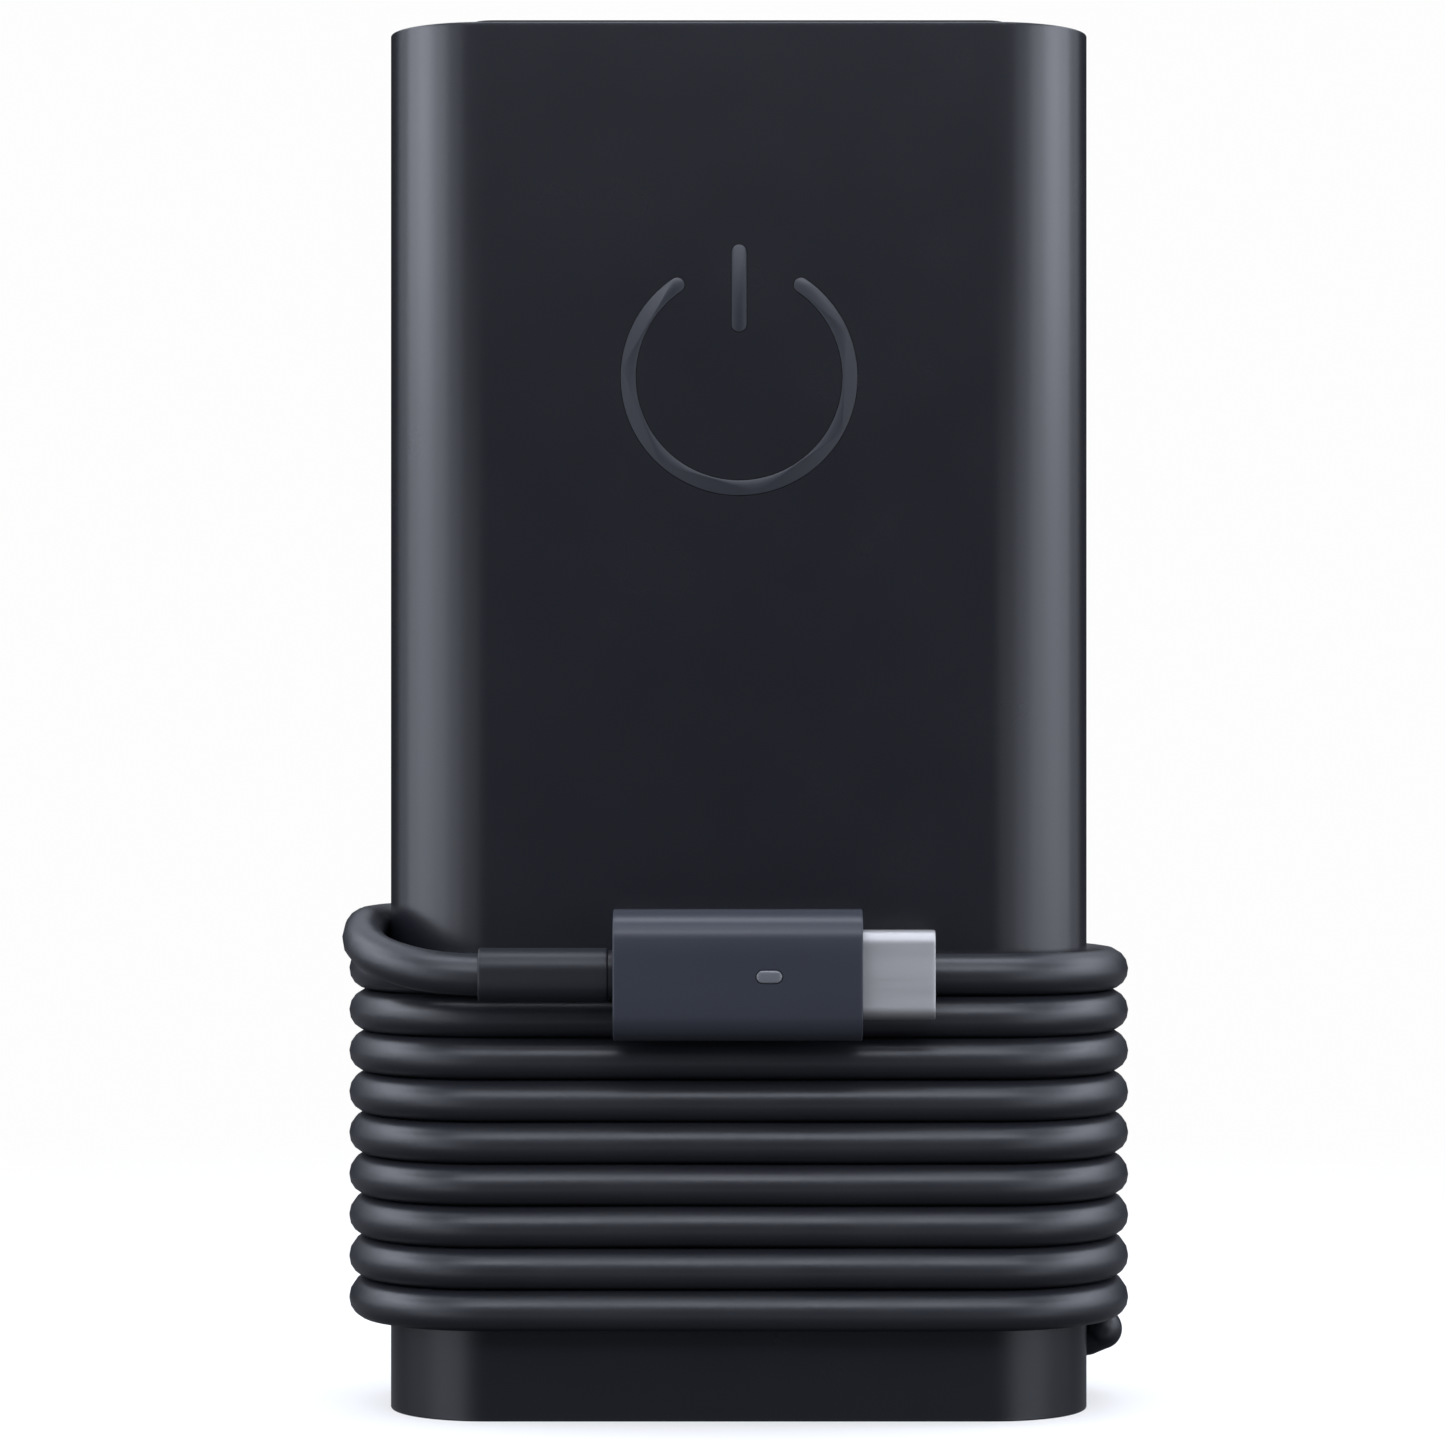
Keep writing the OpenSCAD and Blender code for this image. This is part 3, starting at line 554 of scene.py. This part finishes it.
def emblem_outlines(grow):
    """Power symbol: a ring open at the top and a bar in the opening, both with round ends."""
    r = EMBLEM_R - STROKE / 2
    half = STROKE / 2 + grow
    first, last = 90 + RING_GAP, 450 - RING_GAP
    ends = [(r * math.cos(math.radians(a)), r * math.sin(math.radians(a))) for a in (first, last)]
    ring = arc(0, 0, r + half, first, last, RING_STEPS)
    ring += arc(*ends[1], half, last, last + 180, ROUND_STEPS)[1:-1]
    ring += arc(0, 0, r - half, last, first, RING_STEPS)
    ring += arc(*ends[0], half, first + 180, first + 360, ROUND_STEPS)[1:-1]
    bar = arc(0, BAR_TOP * EMBLEM_R - STROKE / 2, half, 0, 180, ROUND_STEPS)
    bar += arc(0, BAR_BOTTOM * EMBLEM_R + STROKE / 2, half, 180, 360, ROUND_STEPS)
    return ring, bar


def emblem_solids(name, grow, y0, y1):
    """The two strokes as solids from y0 to y1."""
    return [loft(name, [[(x, y, z + EMBLEM_Z) for x, z in outline] for y in (y0, y1)])
            for outline in emblem_outlines(grow)]


def joined(name, objects, degrees=SMOOTH_ANGLE):
    """One object from several, which are deleted."""
    bm = bmesh.new()
    for obj in objects:
        bm.from_mesh(obj.data)
        bpy.data.objects.remove(obj)
    mesh = bpy.data.meshes.new(name)
    bm.to_mesh(mesh)
    bm.free()
    obj = add_object(name, mesh)
    smooth_by_angle(obj, degrees)
    return obj


def add_bevel(obj, width):
    """Bevels the edges that are sharper than 40 degrees."""
    modifier = obj.modifiers.new("bevel", "BEVEL")
    modifier.width = width * MM
    modifier.segments = 2
    modifier.limit_method = "ANGLE"
    modifier.angle_limit = math.radians(40)
    apply_modifiers(obj)
    smooth_by_angle(obj)


SHELL_FILLET = 0.15              # the boolean cuts fail with 0.12
SEAM_HALF_W, SEAM_DEPTH = 0.16, 0.2
HALF_GAP = 0.02                  # each half stops this far from the middle plane


def seam_cutters():
    """Wedges for the V-shaped line where the two halves meet, all round the body."""
    out = 1.0
    wide = SEAM_HALF_W + out * SEAM_HALF_W / SEAM_DEPTH
    cutters = []
    for side in (-1, 1):
        x = side * BODY_W / 2
        ring = [(x - side * SEAM_DEPTH, 0), (x + side * out, -wide), (x + side * out, wide)]
        cutters.append(prism("seam", ring, -1, BODY_H + 1))
    for z, up in ((0, -1), (BODY_H, 1)):
        ring = [(0, z - up * SEAM_DEPTH), (-wide, z + up * out), (wide, z + up * out)]
        cutters.append(loft("seam", [[(x, y, z) for y, z in ring] for x in (-BODY_W, BODY_W)]))
    return cutters


def add_casing():
    """Two half shells, cut from one block that is hollow and open at the inlet end."""
    shell = rounded_block("shell", BODY_W, BODY_D, SIDE_R, 0, BODY_H, SHELL_FILLET, 32)
    inside = (BODY_W - 2 * WALL, BODY_D - 2 * WALL, SIDE_R - WALL)
    boolean(shell, rounded_block("cavity", *inside, WALL, BODY_H - WALL, 0.5, 16))
    opening = rounded_outline(PLATE_W + 0.16, PLATE_D + 0.16, PLATE_R + FIT, 10)
    boolean(shell, prism("opening", opening, BODY_H - 4, BODY_H + 2))
    for cutter in seam_cutters():
        boolean(shell, cutter)
    for pocket in emblem_solids("pocket", FIT, front_low.y - 1, front_low.y + EMBLEM_DEPTH):
        boolean(shell, pocket)
    w, h = label_high.x - label_low.x + 2 * FIT, label_high.z - label_low.z + 2 * FIT
    outline = rounded_outline(w, h, LABEL_R + FIT, 8)
    pocket = prism("pocket", outline, back_high.y - LABEL_DEPTH, back_high.y + 1)
    turn(pocket, "xzy")
    move(pocket, 0, 0, LABEL_Z)
    boolean(shell, pocket)
    width = 2 * NECK_R + 0.12
    neck_hole = prism("slot", rounded_outline(width, width, NECK_R + FIT, 12), 26, 40)
    turn(neck_hole, "zxy")
    move(neck_hole, 0, GLAND_Y, NECK_Z)
    boolean(shell, neck_hole)
    back = copy_of(shell, "casing_back")
    shell.name = "casing_front"
    big = 2 * BODY_H
    boolean(shell, block((-big, -HALF_GAP, -big), (big, big, big)))
    boolean(back, block((-big, -big, -big), (big, HALF_GAP, big)))
    finish_piece(shell, "shell_plastic", "front_shell")
    finish_piece(back, "shell_plastic", "back_shell")


def add_emblem():
    strokes = emblem_solids("stroke", 0, front_low.y, front_low.y + EMBLEM_DEPTH)
    obj = joined("power_symbol", strokes)
    add_bevel(obj, 0.05)
    finish_piece(obj, "emblem_plastic", "front_emblem")


def add_label():
    w, h = label_high.x - label_low.x, label_high.z - label_low.z
    y0, y1 = back_high.y - LABEL_DEPTH, back_high.y - 0.03
    obj = rounded_block("blank_label", w, h, LABEL_R, y0, y1, 0.05, 12)
    turn(obj, "xzy")
    move(obj, 0, 0, LABEL_Z)
    finish_piece(obj, "label_film", "rating_label")


def socket_outline(grow):
    """Three-lobed outline of the mains socket."""
    lobe, pin_x, earth_y, steps = 4.3 + grow, 5.0, 4.5, 20
    y = -earth_y / 2
    top_y = y + lobe
    lift = math.degrees(math.asin((top_y - (y + earth_y)) / lobe))
    outline = arc(pin_x, y, lobe, -90, 90, steps)
    outline += arc(0, y + earth_y, lobe, lift, 180 - lift, steps)
    outline += arc(-pin_x, y, lobe, 90, 270, steps)
    return outline


def add_end_cap():
    z0, z1 = cap_low.z, cap_high.z
    w, d = cap_high.x - cap_low.x, cap_high.y - cap_low.y
    plate = rounded_block("end_cap", PLATE_W, PLATE_D, PLATE_R, z0 + 0.6, z1, 0.06, 10)
    flange = rounded_block("flange", w, d, 2, z0, BODY_H - WALL, 0.2, 10)
    boolean(plate, flange, "UNION")
    # The socket's edge is rounded outwards: (growth, height) of each ring
    levels = ((0, z0 - 1), (0, z1 - 0.6), (0.06, z1 - 0.4), (0.2, z1 - 0.15), (0.6, z1 + 0.25))
    mouth = [[(x, y, z) for x, y in socket_outline(grow)] for grow, z in levels]
    boolean(plate, loft("mouth", mouth))
    finish_piece(plate, "end_plastic", "inlet_end_cap")


def add_pins():
    """Round pins with domed tips, each with a thicker root up to the floor of the socket."""
    r, root_r, dome, socket_floor = 1.2, 1.5, 0.9, 117
    for node in ("line_pin", "neutral_pin", "earth_pin"):
        low, high = span(node)
        profile = [(root_r - 0.05, low.z), (root_r, low.z + 0.1)]
        profile += [(root_r, socket_floor), (r, socket_floor), (r, high.z - 1.2)]
        profile += [(x, high.z - dome + dome * y / r) for x, y in arc(0, 0, r, 0, 75, 5)]
        pin = lathe(node + "_contact", profile + [(0.1, high.z)], 40)
        x, y, _ = middle(low, high)
        move(pin, x, y)
        finish_piece(pin, "nickel_contact", node)


add_casing()
add_emblem()
add_label()
add_end_cap()
add_pins()

# ---------------------------------------------------------------- cord gland

GLAND_SIDES = 40


def blended(name, parts, voxel, passes):
    """Joins overlapping solids into one moulded form with soft inner corners."""
    obj = joined(name, parts)
    remesh = obj.modifiers.new("remesh", "REMESH")
    remesh.mode = "VOXEL"
    remesh.voxel_size = voxel * MM
    relax = obj.modifiers.new("relax", "SMOOTH")
    relax.factor = 0.5
    relax.iterations = passes
    apply_modifiers(obj)
    smooth_by_angle(obj, 60)
    return obj


def gland_path():
    """Centre line of the sleeve: round the back corner, then along the back to the cord."""
    widen, slope, step, count = 1.035, 0.012, 0.4, 20
    start = math.degrees(math.asin((GLAND_Y - FLAT_Y) / GLAND_ARC_R))
    bend = [Vector((FLAT_X + (x - FLAT_X) * widen, y, GLAND_Z))
            for x, y in arc(FLAT_X, FLAT_Y, GLAND_ARC_R, start, 90, 40)]
    run = [Vector((FLAT_X - x, FLAT_Y + GLAND_ARC_R - slope * x, GLAND_Z))
           for x in [step * k for k in range(1, count + 1)]]
    return bend + run


def gland_root(path):
    """The neck through the wall, the knuckle outside it and the start of the sleeve, in one."""
    # x, rise and growth in radius along the neck
    stations = ((28.6, 0, 0), (32.9, 0, 0), (33.5, 0.15, 0.08), (34.1, 0.6, 0.3), (34.7, 1.05, 0.5))
    neck = sweep("neck", [Vector((x, GLAND_Y, NECK_Z + rise)) for x, rise, grow in stations],
                 [NECK_R + grow for x, rise, grow in stations], GLAND_SIDES)
    # y and radius along the knuckle, whose front end is a dome
    domes = ((-1.95, 0.4), (-1.85, 0.8), (-1.5, 1.35), (-0.9, 1.78), (-0.2, 1.95),
             (0.6, GLAND_R), (1.4, GLAND_R))
    knuckle = sweep("knuckle", [Vector((path[0].x + 0.05, GLAND_Y + y, GLAND_Z)) for y, r in domes],
                    [r for y, r in domes], GLAND_SIDES)
    count = 12
    first = sweep("first", path[:count], [GLAND_R] * count, GLAND_SIDES)
    return blended("gland_root", [neck, knuckle, first], 0.12, 5)


def gland_ribs(path):
    """Ribbed part of the sleeve: shallow grooves, tapering towards the cord."""
    rib, groove, plain_end = 1.5, 0.2, 1.2
    route = smooth_route(path[8:], 0.2)
    total = length_of(route)
    radii = []
    for i in range(len(route)):
        s = i / (len(route) - 1) * total
        taper = 2.04 - 0.03 * s / total
        wave = max(0.0, math.cos(2 * math.pi * (s / rib - 0.5))) ** 2
        radii.append(taper - (groove * wave if plain_end < s < total - plain_end else 0))
    radii[0] -= 0.3
    radii[-2] -= 0.06
    radii[-1] -= 0.2
    return sweep("gland_ribs", route, radii, GLAND_SIDES, 60)


def add_gland():
    """Angled strain relief round the back corner, held by a flange inside the wall."""
    path = gland_path()
    root = gland_root(path)
    ribs = gland_ribs(path)
    flange = block((27.4, 2.1, 2.8), (28.8, 6.9, 8))
    add_bevel(flange, 0.2)
    obj = joined("cord_strain_relief", [root, ribs, flange], 60)
    return finish_piece(obj, "relief_rubber", "cord_gland")


gland = add_gland()

# ---------------------------------------------------------------- plug

# Sections of the two mouldings: radius of the edges, radius of the sides, degrees they lean to
GRIP_SECTION = (2.9, 12, 8)
BOOT_SECTION = (1.9, 4, 5)
ROUND_END = 0.005                # a round end's radius falls this short of half the height
LENS_X, _, LENS_Z = middle(lens_low, lens_high)
LENS_W, LENS_H = lens_high.x - lens_low.x, lens_high.z - lens_low.z


def crowned_outline(t, h, r, crown, lean):
    """Section of a moulding, anticlockwise.

    Its sides are arcs of radius crown up to lean degrees; its edges are arcs of radius r.
    """
    steps = 12
    tilt = math.radians(lean)
    top = h / 2 - r * (1 - math.sin(tilt))
    flat = top - crown * math.sin(tilt)
    quarter = [(t / 2, flat * 0.9)]
    for a in [tilt * k / steps for k in range(steps + 1)]:
        quarter.append((t / 2 - crown * (1 - math.cos(a)), flat + crown * math.sin(a)))
    cx, cy = quarter[-1][0] - r * math.cos(tilt), quarter[-1][1] - r * math.sin(tilt)
    for a in [tilt + (math.pi / 2 - tilt) * k / steps for k in range(1, steps + 1)]:
        quarter.append((cx + r * math.cos(a), cy + r * math.sin(a)))
    quarter.append((cx * 0.85, h / 2))
    half = quarter + [(-x, y) for x, y in reversed(quarter)]
    return half + [(-x, -y) for x, y in half]


def across_plug(x, outline):
    """An outline set square to the plug at x."""
    return [(x, PLUG_Y + a, PLUG_Z + b) for a, b in outline]


def moulding(name, levels, t, h, r, crown, lean):
    """Moulded bar along the plug; levels are its (inset, x) pairs."""
    rings = []
    for inset, x in levels:
        outline = crowned_outline(t - 2 * inset, h - 2 * inset, r - inset, crown - inset, lean)
        rings.append(across_plug(x, outline))
    return loft(name, rings, degrees=30)


def along_x(name, sections, steps=12):
    """Solid along the plug: each section is (x, thickness, height, corner radius)."""
    return loft(name, [across_plug(x, rounded_outline(thick, high, r, steps, 0.12))
                       for x, thick, high, r in sections])


def add_grip():
    """Moulded grip with crowned faces, nearly square ends and a window for its light."""
    x0, x1 = grip_low.x, grip_high.x
    t, h = grip_high.y - grip_low.y, grip_high.z - grip_low.z
    grip = moulding("connector_grip", end_levels(x0, x1, 0.15, 4), t, h, *GRIP_SECTION)
    boolean(grip, along_x("cavity", [(x, 3.4, 9.6, 0.5) for x in (-7, 8.5)], 4))
    mouth = [(8, 2.5, 8.35, 1.2), (x1 - 0.35, 2.5, 8.35, 1.2),
             (x1 - 0.12, 2.62, 8.47, 1.26), (x1 + 0.2, 3.0, 8.85, 1.4)]
    boolean(grip, along_x("mouth", mouth))
    w, tall = LENS_W + 2 * FIT, LENS_H + 2 * FIT
    outline = rounded_outline(w, tall, tall / 2 - ROUND_END, 10, 0.05)
    window = prism("window", outline, grip_low.y - 1, PLUG_Y)
    turn(window, "xzy")
    move(window, LENS_X, 0, LENS_Z)
    boolean(grip, window)
    return finish_piece(grip, "plug_plastic", "plug_grip")


def add_lens():
    """Low dome over the light."""
    front = lens_low.y
    levels = ((0, lens_high.y), (0, front + 0.12), (0.04, front + 0.05), (0.12, front + 0.01),
              (0.25, front - 0.02), (0.4, front - 0.03))
    rings = []
    for inset, y in levels:
        r = LENS_H / 2 - inset - ROUND_END
        outline = rounded_outline(LENS_W - 2 * inset, LENS_H - 2 * inset, r, 10, 0.03)
        rings.append([(x + LENS_X, y, z + LENS_Z) for x, z in outline])
    return finish_piece(loft("light_window", rings, degrees=50), "lamp_lens", "plug_lens")


def add_sleeve():
    """Drawn metal sleeve, open at both ends, with a rolled front lip."""
    x0, x1 = sleeve_low.x, sleeve_high.x
    t, h = sleeve_high.y - sleeve_low.y, sleeve_high.z - sleeve_low.z
    wall, lip, roll = 0.3, 0.1, 0.03
    # (x, inset) along the outside, round the lip and back along the inside
    outer = [(x0, 0.05), (x0 + 0.05, 0), (x0 + 0.4, 0), (x1 - 0.6, 0), (x1 - 0.3, 0.01)]
    outer.append((x1 - lip, roll))
    nose = [(x1 - lip + lip * math.sin(a), roll + (wall - roll) / 2 * (1 - math.cos(a)))
            for a in [math.radians(22.5 * k) for k in range(1, 8)]]
    inner = [(x1 - lip, wall), (x1 - 0.5, wall), (x0 + 0.05, wall), (x0, wall - 0.05)]
    rings = []
    for x, inset in outer + nose + inner:
        outline = rounded_outline(t - 2 * inset, h - 2 * inset, t / 2 - inset - 0.004, 12, 0.1)
        rings.append(across_plug(x, outline))
    sleeve = loft("connector_sleeve", rings, closed=True, degrees=50)
    return finish_piece(sleeve, "steel_sleeve", "plug_sleeve")


def add_boot():
    """Flat-sided strain relief behind the grip, with a fine groove where it meets the grip."""
    x0, x1 = boot_low.x, boot_high.x
    t, h = boot_high.y - boot_low.y, boot_high.z - boot_low.z
    groove = 0.2
    levels = end_levels(x0, x1 - 0.45, groove, 4) + [(groove, x1 - 0.4), (groove, x1)]
    boot = moulding("connector_strain_relief", levels, t, h, *BOOT_SECTION)
    return finish_piece(boot, "relief_rubber", "plug_strain_relief")


plug_pieces = [add_grip(), add_lens(), add_sleeve(), add_boot()]

finish_cad_nodes()

# ---------------------------------------------------------------- floor and light

BACKGROUND = (0.985, 0.985, 0.985)
TINT = (0.95, 1.0, 1.13)         # cool white of every lamp and of the sky
FLOOR_RINGS = (0.5, 300, 900, 4000)
FLOOR_FADE = (0.04, 0.3)         # metres from the middle over which the floor turns to background

# Sky strength far below, just below, level with and above the object
SKY_FRONT = (0.1, 0.1, 0.0, 0.0)
SKY_CORNER = (0.1, 1.4, 0.0, 0.0)
SKY_SIDE = (0.1, 0.4, 0.01, 0.7)
SKY_BACK = (0.1, 0.2, 0.02, 1.4)
# Heights between which one strength turns into the next, as the Z of the direction
DEEP_TO_LOW, LOW_TO_LEVEL, LEVEL_TO_HIGH = (-0.6, -0.3), (-0.2, -0.02), (0.2, 0.8)
# Directions between which one sky turns into the next, as the Y of the direction
FRONT_TO_CORNER, CORNER_TO_SIDE, SIDE_TO_BACK = (-0.97, -0.8), (-0.65, -0.1), (0, 0.5)


def add_floor():
    """Pale round floor that fades into the background and isn't seen in reflections."""
    count = 64
    circle = [2 * math.pi * k / count for k in range(count)]
    points = [(r * math.cos(a), r * math.sin(a), 0) for r in FLOOR_RINGS for a in circle]
    faces = [tuple(range(count))]
    for i in range(len(FLOOR_RINGS) - 1):
        a, b = i * count, (i + 1) * count
        faces += [(a + k, a + (k + 1) % count, b + (k + 1) % count, b + k) for k in range(count)]
    floor = add_mesh("floor", points, faces)
    material, tree, shader = new_material("pale_floor")
    shader.inputs["Base Color"].default_value = (0.86, 0.86, 0.86, 1)
    shader.inputs["Roughness"].default_value = 0.7
    shader.inputs["Specular IOR Level"].default_value = 0.2
    glow = tree.nodes.new("ShaderNodeEmission")
    glow.inputs["Color"].default_value = (*BACKGROUND, 1)
    place = tree.nodes.new("ShaderNodeTexCoord")
    distance = tree.nodes.new("ShaderNodeVectorMath")
    distance.operation = "LENGTH"
    tree.links.new(place.outputs["Object"], distance.inputs[0])
    fade = map_range(tree, distance.outputs["Value"], *FLOOR_FADE, 0.5, 1)
    mix = tree.nodes.new("ShaderNodeMixShader")
    tree.links.new(fade, mix.inputs["Fac"])
    tree.links.new(shader.outputs["BSDF"], mix.inputs[1])
    tree.links.new(glow.outputs["Emission"], mix.inputs[2])
    tree.links.new(mix.outputs["Shader"], tree.nodes["Material Output"].inputs["Surface"])
    floor.data.materials.append(material)
    floor.visible_glossy = False
    floor.visible_diffuse = False


def sky_by_height(tree, z, strengths):
    """Strength of one sky at the height z: far below, just below, level and above."""
    deep, low, level, high = strengths
    total = map_range(tree, z, *DEEP_TO_LOW, deep - low, 0)
    for band, first, last in ((LOW_TO_LEVEL, low - level, 0), (LEVEL_TO_HIGH, level, high)):
        add = tree.nodes.new("ShaderNodeMath")
        tree.links.new(total, add.inputs[0])
        tree.links.new(map_range(tree, z, *band, first, last), add.inputs[1])
        total = add.outputs["Value"]
    return total


def add_world():
    """White background, and a sky for the object that differs in front, at the sides and behind."""
    world = bpy.data.worlds.new("studio")
    bpy.context.scene.world = world
    world.use_nodes = True
    tree = world.node_tree
    seen = tree.nodes["Background"]
    seen.inputs["Color"].default_value = (*BACKGROUND, 1)
    seen.inputs["Strength"].default_value = 1.0
    place = tree.nodes.new("ShaderNodeTexCoord")
    axes = tree.nodes.new("ShaderNodeSeparateXYZ")
    tree.links.new(place.outputs["Generated"], axes.inputs["Vector"])
    strength = sky_by_height(tree, axes.outputs["Z"], SKY_FRONT)
    zones = ((FRONT_TO_CORNER, SKY_CORNER), (CORNER_TO_SIDE, SKY_SIDE), (SIDE_TO_BACK, SKY_BACK))
    for band, strengths in zones:
        blend = tree.nodes.new("ShaderNodeMix")
        tree.links.new(map_range(tree, axes.outputs["Y"], *band, 0, 1), blend.inputs["Factor"])
        tree.links.new(strength, blend.inputs["A"])
        tree.links.new(sky_by_height(tree, axes.outputs["Z"], strengths), blend.inputs["B"])
        strength = blend.outputs["Result"]
    ambient = tree.nodes.new("ShaderNodeBackground")
    ambient.inputs["Color"].default_value = (*TINT, 1)
    tree.links.new(strength, ambient.inputs["Strength"])
    rays = tree.nodes.new("ShaderNodeLightPath")
    mix = tree.nodes.new("ShaderNodeMixShader")
    tree.links.new(rays.outputs["Is Camera Ray"], mix.inputs["Fac"])
    tree.links.new(ambient.outputs["Background"], mix.inputs[1])
    tree.links.new(seen.outputs["Background"], mix.inputs[2])
    tree.links.new(mix.outputs["Shader"], tree.nodes["World Output"].inputs["Surface"])


def add_softbox(name, place, target, width, height, radiance):
    """Rectangular lamp; radiance is how bright its face is."""
    data = bpy.data.lights.new(name, "AREA")
    data.shape = "RECTANGLE"
    data.size = width
    data.size_y = height
    data.energy = radiance * math.pi * width * height
    data.color = TINT
    light = add_object(name, data)
    light.location = place
    light.rotation_euler = (Vector(target) - Vector(place)).to_track_quat("-Z", "Y").to_euler()


# Walls of soft boxes on both sides. For each angle round from the front, in degrees: the
# radiance of the low, middle and high box. For each row, in metres: where its boxes hang,
# how tall they are and the height they aim at.
SIDE_WALL = {
    22: (0.7, 0.0, 0.0), 42: (1.4, 1.2, 0.0), 60: (2.5, 3.3, 0.0),
    78: (2.9, 5.2, 1.2), 96: (2.1, 3.4, 3.8), 116: (0.6, 0.9, 2.5),
}
WALL_ROWS = ((0.06, 0.12, 0.06), (0.19, 0.13, 0.19), (0.36, 0.2, 0.1))
WALL_AWAY, WALL_BOX_W = 0.4, 0.13
# The other soft boxes: place, target, width and height in metres, radiance
OBJECT_MIDDLE = (0, 0, 0.07)
SOFTBOXES = {
    "top_softbox": ((0, -0.06, 0.6), OBJECT_MIDDLE, 0.5, 0.14, 5.5),
    "front_top_softbox": ((0, -0.3, 0.5), OBJECT_MIDDLE, 0.5, 0.25, 0.75),
    "front_high_softbox": ((0, -0.45, 0.62), OBJECT_MIDDLE, 0.5, 0.2, 1.8),
    "front_softbox": ((0, -0.7, 0.53), (0, 0, 0.04), 0.9, 0.2, 5.5),
    "front_low_softbox": ((0, -0.8, 0.3), OBJECT_MIDDLE, 0.9, 0.2, 0.2),
}


def add_lights():
    for degrees, row in SIDE_WALL.items():
        away, back = math.sin(math.radians(degrees)), math.cos(math.radians(degrees))
        for radiance, (height, size, aim) in zip(row, WALL_ROWS):
            for side in (-1, 1) if radiance else ():
                place = (side * WALL_AWAY * away, -WALL_AWAY * back, height)
                add_softbox("side_softbox", place, (0, 0, aim), WALL_BOX_W, size, radiance)
    for name, values in SOFTBOXES.items():
        add_softbox(name, *values)


add_floor()
add_world()
add_lights()
bpy.context.scene.view_settings.view_transform = "Standard"
